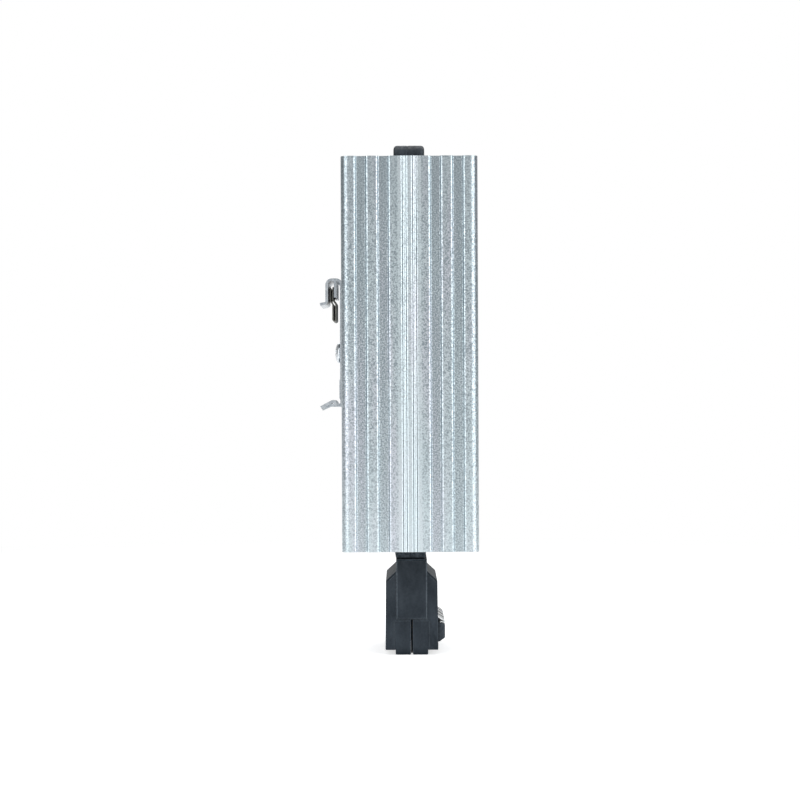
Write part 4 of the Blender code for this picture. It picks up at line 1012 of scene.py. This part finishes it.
CLAMP_PLACES = [(index - (CLAMP_COUNT - 1) / 2) * CLAMP_PITCH for index in range(CLAMP_COUNT)]
TURNED_STEPS = 64  # flats round a turned piece
TURNED_WELD = 0.00001


def turned(name, profile, turn, middle):
    """A solid of revolution. Its profile runs from the axis at the top, down the outer side."""
    made = bpy.data.meshes.new(name)
    edges = [(index, index + 1) for index in range(len(profile) - 1)]
    made.from_pydata([(radius, 0.0, height) for radius, height in profile], edges, [])
    drawn = bpy.data.objects.new(name, made)
    drawn.rotation_euler = turn
    drawn.location = middle
    sweep = drawn.modifiers.new("sweep", "SCREW")
    sweep.steps = sweep.render_steps = TURNED_STEPS
    sweep.use_merge_vertices = True
    sweep.merge_threshold = TURNED_WELD
    return solid_of(drawn)


def shell_outline(side):
    """Half of the housing seen from the end. Side is -1 at the front and 1 at the back."""
    slit = SHELL_PARTING / 2
    ledge_height = BLOCK_BASE - SHELL_FIT
    shoulder = BLOCK_TOP - SHOULDER_START
    corners = [
        (slit, 0.0, SHELL_CORNER),
        (LEG_DEPTH / 2, 0.0, SHELL_CORNER),
        (LEG_DEPTH / 2, SHELL_BASE, 0.0),
        (SHELL_BASE_DEPTH / 2, SHELL_BASE, SHELL_CORNER),
        (SHOULDER_DEPTH / 2, shoulder - SHOULDER_HEIGHT, SHELL_CORNER),
        (ledge, shoulder, 0.0),
        (ledge, ledge_height, 0.0),
        (slit, ledge_height, 0.0),
    ]
    return rounded([(side * across, up, radius) for across, up, radius in corners])


def cut_shoulder_ends(shell, side):
    """Slopes the ends of the shoulder, and rounds the upright corners of the shell."""
    deeper, length = CORNER_BAR
    upright = box_outline(SHELL_LENGTH, SHELL_BASE_DEPTH + deeper, SHELL_END_CORNER)
    bar = draw("shell_corners", [upright], length, SEEN_FROM_ABOVE, seated)
    shell = combine(shell, bar, "INTERSECT")
    cut_y = HOUSING_Y + side * BLOCK[1] / 2
    cut_z = BLOCK_TOP - SHOULDER_START - SHOULDER_CUT
    out, up = SHOULDER_CUT_FACING
    for sign in (-1, 1):
        corner = Matrix.Translation((sign * SHELL_LENGTH / 2, cut_y, cut_z))
        facing = Vector((sign, side * out, up)).normalized().to_track_quat("Z", "Y")
        cutter = between("shoulder_cut", (-CUTTER, -CUTTER, 0.0), (CUTTER, CUTTER, CUTTER))
        cutter.matrix_world = corner @ facing.to_matrix().to_4x4()
        shell = combine(shell, cutter, "DIFFERENCE")
    return shell


def recess_ends(shell, side):
    """Sets the end of the foot back a little between the outer parts of the shell."""
    past_leg, under_block = END_PANEL_EDGES
    edges = sorted((side * SHELL_PARTING / 4, side * (LEG_DEPTH / 2 + past_leg)))
    depths = [HOUSING_Y + edge for edge in edges]
    reach = (SHELL_LENGTH / 2 + CUT_PAST, SHELL_LENGTH / 2 - END_PANEL)
    for sign in (-1, 1):
        panel = end_block("foot_end", sign, reach, depths, (-CUT_PAST, BLOCK_BASE - under_block))
        shell = combine(shell, panel, "DIFFERENCE")
    return shell


ledge = BLOCK[1] / 2 + SHELL_FIT
front = SHELL_BASE_DEPTH / 2 + NOSE_REACH
nose_top = BLOCK_BASE - NOSE_TOP
nose_low = nose_top - NOSE_FACE
root = SHELL_BASE_DEPTH / 2 - SHELL_WALL / 2
nose_front = nose_top - NOSE_TOP_SLOPE
nose_foot = nose_low - NOSE_CHAMFER[1]
nose = [
    (-root, nose_top, 0.0),
    (-front, nose_front, SHELL_CORNER),
    (-front, nose_low, NOSE_CORNER),
    (NOSE_CHAMFER[0] - front, nose_foot, SHELL_CORNER),
    (-root, nose_foot, 0.0),
]
shell_floor = SHELL_BASE + SHELL_FLOOR
hollow_front = front - NOSE_WALL
inner_wall = SHOULDER_DEPTH / 2 - SHELL_WALL
window_top = BLOCK_BASE + WINDOW_RISE
chamber = [
    (CUT_PAST, shell_floor),
    (-inner_wall, shell_floor),
    (-hollow_front, nose_low),
    (-hollow_front, nose_front),
    (-front - CUT_PAST, nose_front),
    (-front - CUT_PAST, window_top),
    (CUT_PAST - ledge, window_top),
    (CUT_PAST - ledge, BLOCK_BASE + CUT_PAST),
    (CUT_PAST, BLOCK_BASE + CUT_PAST),
]
entry_y = HOUSING_Y - (SHELL_PARTING + LEG_DEPTH) / 4
funnel = [(0.0, shell_floor + CUT_PAST), (ENTRY_BORE / 2, shell_floor + CUT_PAST)]
funnel += [(ENTRY_BORE / 2, ENTRY_FUNNEL), (ENTRY_MOUTH / 2, 0.0), (ENTRY_MOUTH / 2, -CUT_PAST)]
funnel += [(0.0, -CUT_PAST)]
front_shell = draw("front_half", [shell_outline(-1)], SHELL_LENGTH, SEEN_FROM_SIDE, seated)
front_shell = cut_shoulder_ends(front_shell, -1)
for x in CLAMP_PLACES:
    added = draw("clamp_nose", [rounded(nose)], NOSE_WIDTH, SEEN_FROM_SIDE, (x, HOUSING_Y, 0.0))
    front_shell = combine(front_shell, added, "UNION")
for x in CLAMP_PLACES:
    room = draw("clamp_chamber", [chamber], CHAMBER_WIDTH, SEEN_FROM_SIDE, (x, HOUSING_Y, 0.0))
    front_shell = combine(front_shell, room, "DIFFERENCE")
    mouth = turned("wire_funnel", funnel, SEEN_FROM_ABOVE, (x, entry_y, 0.0))
    front_shell = combine(front_shell, mouth, "DIFFERENCE")
front_shell = recess_ends(front_shell, -1)
soften(front_shell, MOULDED_EDGE)
place(front_shell, "front_shell", black_nylon)

pocket_top = BLOCK_TOP - SHOULDER_START - SHOULDER_HEIGHT
pocket_start = SHELL_PARTING / 2 + SHELL_WALL
pocket_length = SHELL_LENGTH - 2 * SHELL_WALL
pocket = [
    (pocket_start, shell_floor),
    (inner_wall, shell_floor),
    (inner_wall, pocket_top),
    (ledge - CUT_PAST, pocket_top),
    (ledge - CUT_PAST, BLOCK_BASE + CUT_PAST),
    (pocket_start, BLOCK_BASE + CUT_PAST),
]
back_shell = draw("back_half", [shell_outline(1)], SHELL_LENGTH, SEEN_FROM_SIDE, seated)
back_shell = cut_shoulder_ends(back_shell, 1)
room = draw("back_pocket", [pocket], pocket_length, SEEN_FROM_SIDE, seated)
back_shell = recess_ends(combine(back_shell, room, "DIFFERENCE"), 1)
soften(back_shell, MOULDED_EDGE)
place(back_shell, "back_shell", black_nylon)


# Spring clamps
# Each terminal has a loop of thin nickel-plated spring strip. It arches out of its window over the
# nose, turns down inside it and presses the wire against the contact.

SPRING_THICKNESS = 0.00045
SPRING_WIDTH = 0.0064
SPRING_BEND = 0.0006
SPRING_EDGE = 0.00008
SPRING_END = 5 * SPRING_BEND  # how far over the foot of the nose the strip ends
CONTACT_THICKNESS = 0.0008
NICKEL_DARK = (0.47, 0.485, 0.49, 1.0)
NICKEL_LIGHT = (0.80, 0.82, 0.83, 1.0)
NICKEL_GRAIN = (0.0003, 0.0040, 0.0012)
NICKEL_GLOSS = (0.16, 0.30)
NICKEL_RELIEF = 0.000008


def bent_strip(name, path, thickness, width, edge, middle=on_centre):
    """A strip of sheet metal bent along a path that is seen from the side."""
    drawn = draw(name, [rounded(path, closed=False)], width, SEEN_FROM_SIDE, middle, closed=False)
    sheet = drawn.modifiers.new("sheet", "SOLIDIFY")
    sheet.thickness = thickness
    sheet.offset = 0.0
    sheet.use_even_offset = True
    strip = solid_of(drawn)
    soften(strip, edge)
    return strip


tones = (NICKEL_DARK, NICKEL_LIGHT)
nickel = mottled("nickel_spring", tones, NICKEL_GRAIN, 1.0, NICKEL_GLOSS, NICKEL_RELIEF)
contact_face = -CONTACT_THICKNESS - GAP
half = SPRING_THICKNESS / 2
above_nose = nose_front + GAP + half
under_block = BLOCK_BASE - 2 * GAP - half
nose_inside = front - NOSE_WALL - GAP - half
spring_top = window_top - GAP - half
arch = [
    (contact_face, under_block, 0.0),
    (-ledge - GAP, under_block, SPRING_BEND),
    (-SHOULDER_DEPTH / 2, spring_top, SPRING_BEND),
    (half - front, above_nose + SPRING_BEND, SPRING_BEND / 2),
    (half - front, above_nose, SPRING_BEND / 2),
    (-nose_inside, above_nose + SPRING_BEND, SPRING_BEND),
    (-nose_inside, nose_low + SPRING_BEND, SPRING_BEND),
    (contact_face - SPRING_THICKNESS, nose_low + SPRING_END, 0.0),
]
for number, x in enumerate(CLAMP_PLACES, start=1):
    loop = (f"spring_loop_{number}", arch, SPRING_THICKNESS, SPRING_WIDTH, SPRING_EDGE)
    spring = bent_strip(*loop, (x, HOUSING_Y, 0.0))
    place(spring, f"clamp_spring_{number}", nickel)


# Contacts and leads
# Stamped brass contacts stand behind the clamps. Two insulated leads and a brass earth strip run
# from them through the carrier into the bore, all hidden inside.

BRASS_DARK = (0.48, 0.31, 0.11, 1.0)
BRASS_LIGHT = (0.74, 0.54, 0.25, 1.0)
BRASS_GRAIN = (0.0003, 0.0010, 0.006)
BRASS_GLOSS = (0.24, 0.42)
BRASS_RELIEF = 0.00001
BROWN_DARK = (0.065, 0.022, 0.010, 1.0)
BROWN_LIGHT = (0.115, 0.043, 0.020, 1.0)
BLUE_DARK = (0.012, 0.060, 0.26, 1.0)
BLUE_LIGHT = (0.022, 0.105, 0.38, 1.0)
LEAD_CLOUD = (0.002,) * 3
LEAD_GLOSS = (0.35, 0.50)
LEAD_RELIEF = 0.00002

tones = (BRASS_DARK, BRASS_LIGHT)
brass = mottled("contact_brass", tones, BRASS_GRAIN, 1.0, BRASS_GLOSS, BRASS_RELIEF)
cover = (LEAD_CLOUD, 0.0, LEAD_GLOSS, LEAD_RELIEF)
brown = mottled("brown_lead", (BROWN_DARK, BROWN_LIGHT), *cover)
blue = mottled("blue_lead", (BLUE_DARK, BLUE_LIGHT), *cover)
dress(brass, "live_contact", "neutral_contact", "earth_contact", "earth_strip")
dress(brown, "live_lead")
dress(blue, "neutral_lead")


# Rail clip
# One strip of zinc-plated steel, stamped and folded: a flat back against the profile, an upper hook
# with a stop leg inside it that ends in a flared foot, and a lower hook with a notch, a bump and a
# tab pressed down in its middle. A screw holds it to the profile.

RAIL_UPPER_EDGE, RAIL_LOWER_EDGE = 0.1259, 0.0901
CLIP_WIDTH = 0.0260
CLIP_SHEET = 0.0010
CLIP_BEND = 0.0008
CLIP_EDGE = 0.00018
CLIP_SEAT = 0.00006
FOLD_RISE = 0.0097
FOLD_REACH = 0.0058
FOLD_BEND = 0.0019
FOOT_REACH = 0.0083
FOOT_HEIGHT = 0.0007
FOOT_DROP = 0.0004
FOOT_BEND = 0.0010
STOP_REACH = 0.0027  # the leg of the hook that the leaf spring leans on
STOP_HEIGHT = 0.0027
STOP_BELOW = 0.00015
STOP_NARROWER = 0.0004
NOTCH_REACH = 0.0026
BUMP_REACH = 0.0034
BUMP_RISE = 0.0016
TIP_REACH = 0.0081
TIP_DROP = 0.0014
TAB_WIDTH = 0.0120  # the middle of the lower hook is pressed down as a tab
TAB_REACH = 0.0050
TAB_DROP = 0.0007
TAB_SHORTER = 0.0002
SEAT_STEP = 0.0003
SEAT_START = 0.0022
SEAT_HEIGHT = 0.0060
SEAT_SLOPE = 0.0008
SCREW_SHANK = 0.0039
SCREW_RISE = 0.0007  # how far above the rail's middle the screw stands
ZINC_DARK = (0.37, 0.41, 0.45, 1.0)
ZINC_LIGHT = (0.74, 0.785, 0.82, 1.0)
ZINC_STAIN = (0.62, 0.65, 0.62, 1.0)
ZINC_LINE = (0.00035, 0.0012, 0.0300)
ZINC_SPANGLE = (0.0016,) * 3
ZINC_CLOUD = (0.006,) * 3
ZINC_LINE_TONE = (0.32, 0.68, 0.0, 0.7)
ZINC_SPANGLE_TONE = (0.0, 0.3)
ZINC_STAINED = (0.58, 0.74, 0.0, 0.45)
ZINC_GLOSS = (0.20, 0.34)
ZINC_RELIEF = 0.000014
SPANGLE_RELIEF = 0.5  # against the drawn lines

half = CLIP_SHEET / 2
base = BACK + CLIP_SEAT + half
fold_top = RAIL_UPPER_EDGE + FOLD_RISE - half
foot = RAIL_UPPER_EDGE + FOOT_HEIGHT
seat = RAIL_LOWER_EDGE + SEAT_START
folded = [
    (BACK + TIP_REACH, RAIL_LOWER_EDGE - TIP_DROP, 0.0),
    (BACK + BUMP_REACH, RAIL_LOWER_EDGE + BUMP_RISE - half, CLIP_BEND),
    (BACK + NOTCH_REACH, RAIL_LOWER_EDGE - half, CLIP_BEND),
    (base, RAIL_LOWER_EDGE - half, CLIP_BEND),
    (base, seat - SEAT_SLOPE, 0.0),
    (base + SEAT_STEP, seat, 0.0),
    (base + SEAT_STEP, seat + SEAT_HEIGHT, 0.0),
    (base, seat + SEAT_HEIGHT + SEAT_SLOPE, 0.0),
    (base, fold_top, FOLD_BEND),
    (BACK + FOLD_REACH, fold_top, FOLD_BEND),
    (BACK + FOLD_REACH, foot, FOOT_BEND),
    (BACK + FOOT_REACH, foot - FOOT_DROP, 0.0),
]
stop = [
    (BACK + STOP_REACH, RAIL_UPPER_EDGE + STOP_HEIGHT, 0.0),
    (BACK + STOP_REACH, fold_top - STOP_BELOW, CLIP_BEND),
    (BACK + FOLD_REACH - FOLD_BEND, fold_top - STOP_BELOW, 0.0),
]
tab = [
    (BACK + TIP_REACH - TAB_SHORTER, RAIL_LOWER_EDGE - TIP_DROP - TAB_DROP, 0.0),
    (BACK + TAB_REACH, RAIL_LOWER_EDGE - TAB_DROP, CLIP_BEND),
    (base, RAIL_LOWER_EDGE - TAB_DROP, 0.0),
]
clip = bent_strip("folded_clip", folded, CLIP_SHEET, CLIP_WIDTH, 0.0)
for name, path, width in (
    ("hook_stop", stop, CLIP_WIDTH - STOP_NARROWER),
    ("hook_tab", tab, TAB_WIDTH),
):
    clip = combine(clip, bent_strip(name, path, CLIP_SHEET, width, 0.0), "UNION")
radius = SCREW_SHANK / 2 + GAP
screw_height = (RAIL_UPPER_EDGE + RAIL_LOWER_EDGE) / 2 + SCREW_RISE
toward_rail = (-math.pi / 2, 0.0, 0.0)
hole = [(0.0, CUT_PAST), (radius, CUT_PAST), (radius, -CUT_PAST), (0.0, -CUT_PAST)]
punch = turned("clip_hole", hole, toward_rail, (0.0, MIDDLE_Y + base, screw_height))
clip = combine(clip, punch, "DIFFERENCE")
soften(clip, CLIP_EDGE, segments=3)

zinc, tree, where = finish_of("bright_zinc")
drawn_lines = noise(tree, where, ZINC_LINE, detail=3.0, roughness=0.6)
spangle = noise(tree, where, ZINC_SPANGLE, detail=3.0)
stain = noise(tree, where, ZINC_CLOUD, detail=4.0)
tone = maths(
    tree,
    "ADD",
    spread(tree, drawn_lines, *ZINC_LINE_TONE),
    spread(tree, spangle, *NARROW_SWING, *ZINC_SPANGLE_TONE),
)
colour = blend_colours(tree, tone, ZINC_DARK, ZINC_LIGHT)
height = maths(tree, "ADD", drawn_lines, maths(tree, "MULTIPLY", spangle, SPANGLE_RELIEF))
surface = {
    "Base Color": blend_colours(tree, spread(tree, stain, *ZINC_STAINED), colour, ZINC_STAIN),
    "Metallic": 1.0,
    "Roughness": spread(tree, spangle, *SWING, *ZINC_GLOSS),
    "Normal": bumped(tree, height, ZINC_RELIEF),
}
coat(tree, surface)
place(clip, "rail_clip", zinc)


# Leaf spring
# A strip of hardened spring steel, oiled and dark. Its two arms stand side by side in the upper
# hook with their ends spread, and the tongue below them hangs down in front of the rail's flange
# and pushes it outward.

LEAF_THICKNESS = 0.00055
LEAF_WIDTH = 0.0180
LEAF_BEND = 0.0006
LEAF_EDGE = 0.0001
LEAF_ARMS = (0.00375, 0.0046)  # where the two arms stand, from the profile's back
LEAF_FLARE = (0.00024, 0.0013)  # how far their ends spread, and over what height
LEAF_BELOW_FOLD = 0.0019
JOG_RISE = 0.0005
JOG_HEIGHT = 0.0012
JOG_OFFSET = 0.0004  # how much higher the near arm's step is
TONGUE_REACH = 0.0026
TONGUE_WIDTH = 0.0011
TONGUE_DROP = 0.0058
SPRING_STEEL_DARK = (0.070, 0.070, 0.062, 1.0)
SPRING_STEEL_LIGHT = (0.27, 0.265, 0.24, 1.0)
SPRING_STEEL_GRAIN = (0.0004, 0.0010, 0.0060)
SPRING_STEEL_GLOSS = (0.42, 0.60)
SPRING_STEEL_RELIEF = 0.00001

jog = RAIL_UPPER_EDGE + JOG_RISE
tongue_end = RAIL_UPPER_EDGE - TONGUE_DROP + LEAF_THICKNESS / 2
tongue = BACK + TONGUE_REACH
near_arm, far_arm = (BACK + reach for reach in LEAF_ARMS)
flare, flare_height = LEAF_FLARE
arm_top = RAIL_UPPER_EDGE + FOLD_RISE - CLIP_SHEET - LEAF_BELOW_FOLD
folds = [
    (near_arm - flare, arm_top, 0.0),
    (near_arm, arm_top - flare_height, LEAF_BEND),
    (near_arm, jog + JOG_HEIGHT + JOG_OFFSET, LEAF_BEND),
    (tongue, jog + JOG_OFFSET, LEAF_BEND),
    (tongue, tongue_end, TONGUE_WIDTH / 2),
    (tongue + TONGUE_WIDTH, tongue_end, TONGUE_WIDTH / 2),
    (tongue + TONGUE_WIDTH, jog, LEAF_BEND),
    (far_arm, jog + JOG_HEIGHT, LEAF_BEND),
    (far_arm, arm_top - flare_height, LEAF_BEND),
    (far_arm + flare, arm_top, 0.0),
]
leaf = bent_strip("leaf_spring", folds, LEAF_THICKNESS, LEAF_WIDTH, LEAF_EDGE)
tones = (SPRING_STEEL_DARK, SPRING_STEEL_LIGHT)
oiled = (SPRING_STEEL_GRAIN, 1.0, SPRING_STEEL_GLOSS, SPRING_STEEL_RELIEF)
dark_steel = mottled("spring_steel", tones, *oiled)
place(leaf, "rail_clip_spring", dark_steel)


# Clip screw
# A pan head screw, brighter zinc than the clip, goes through it into the spine behind the bore. Its
# head is pressed from the wire, with a low dome over a short straight rim, and has a cross recess
# with a driver slot through it.

SCREW_HEAD = 0.0074
SCREW_HEAD_HEIGHT = 0.0020
SCREW_HEAD_RIM = 0.0006
SCREW_RIM_EDGE = 0.00012
SCREW_DOME_STEPS = 14
SCREW_NECK = (0.0001, 0.0008)  # how much thinner the shank gets under the head, and where
SCREW_LENGTH = 0.0080
SCREW_TIP = 0.0010
SCREW_SEAT = 0.0001
SCREW_EDGE = 0.00006
SCREW_EDGE_TURN = 50  # edges that turn by more degrees than this are softened
THREAD_START = 0.0010
THREAD_PITCH = 0.0007
THREAD_DEPTH = 0.00028
RECESS_WIDTH = 0.0011
RECESS_LENGTH = 0.0040
RECESS_DEPTH = 0.0012
RECESS_DRAFT = 0.35  # how much narrower the recess is at its bottom
RECESS_TURN = math.radians(14)
DRIVER_SLOT = (0.0010, 0.0009)  # width and depth
SCREW_ZINC_DARK = (0.42, 0.46, 0.49, 1.0)
SCREW_ZINC_LIGHT = (0.80, 0.84, 0.87, 1.0)
SCREW_ZINC_GRAIN = (0.0008,) * 3
SCREW_ZINC_GLOSS = (0.14, 0.26)
SCREW_ZINC_RELIEF = 0.00001

radius = SCREW_HEAD / 2
shank = SCREW_SHANK / 2
head_base = BACK + CLIP_SEAT + CLIP_SHEET + SCREW_SEAT
dome = SCREW_HEAD_HEIGHT - SCREW_HEAD_RIM
turns = [math.pi / 2 * step / SCREW_DOME_STEPS for step in range(SCREW_DOME_STEPS + 1)]
outline = [(radius * math.sin(turn), SCREW_HEAD_RIM + dome * math.cos(turn)) for turn in turns]
outline += [(radius, SCREW_RIM_EDGE), (radius - SCREW_RIM_EDGE, 0.0)]
outline += [(shank, 0.0), (shank - SCREW_NECK[0], -SCREW_NECK[1])]
depth = THREAD_START
while depth + THREAD_PITCH < SCREW_LENGTH:
    outline += [(shank - THREAD_DEPTH, -depth), (shank, -depth - THREAD_PITCH / 2)]
    depth += THREAD_PITCH
outline += [(shank - THREAD_DEPTH, -SCREW_LENGTH), (0.0, -SCREW_LENGTH - SCREW_TIP)]
screw_place = (0.0, MIDDLE_Y + head_base, screw_height)
screw = turned("pan_head_screw", outline, toward_rail, screw_place)
recess_top = MIDDLE_Y + head_base + SCREW_HEAD_HEIGHT
turned_slot = (
    Matrix.Translation((0.0, 0.0, screw_height))
    @ Matrix.Rotation(RECESS_TURN, 4, "Y")
    @ Matrix.Translation((0.0, 0.0, -screw_height))
)
for name, wide, tall, depth, draft in (
    ("recess_across", RECESS_LENGTH / 2, RECESS_WIDTH / 2, RECESS_DEPTH, RECESS_DRAFT),
    ("recess_upright", RECESS_WIDTH / 2, RECESS_LENGTH / 2, RECESS_DEPTH, RECESS_DRAFT),
    ("driver_slot", SCREW_HEAD / 2 + CUT_PAST, DRIVER_SLOT[0] / 2, DRIVER_SLOT[1], 0.0),
):
    low = (-wide, recess_top - depth, screw_height - tall)
    slot = between(name, low, (wide, recess_top + CUT_PAST, screw_height + tall))
    for corner in slot.data.vertices:
        if corner.co.y < recess_top:
            corner.co.x *= 1 - draft
            corner.co.z = screw_height + (corner.co.z - screw_height) * (1 - draft)
    slot.matrix_world = turned_slot
    screw = combine(screw, slot, "DIFFERENCE")
soften(screw, SCREW_EDGE, angle=SCREW_EDGE_TURN)
tones = (SCREW_ZINC_DARK, SCREW_ZINC_LIGHT)
plated = (SCREW_ZINC_GRAIN, 1.0, SCREW_ZINC_GLOSS, SCREW_ZINC_RELIEF)
bright_steel = mottled("screw_zinc", tones, *plated)
place(screw, "rail_clip_screw", bright_steel)
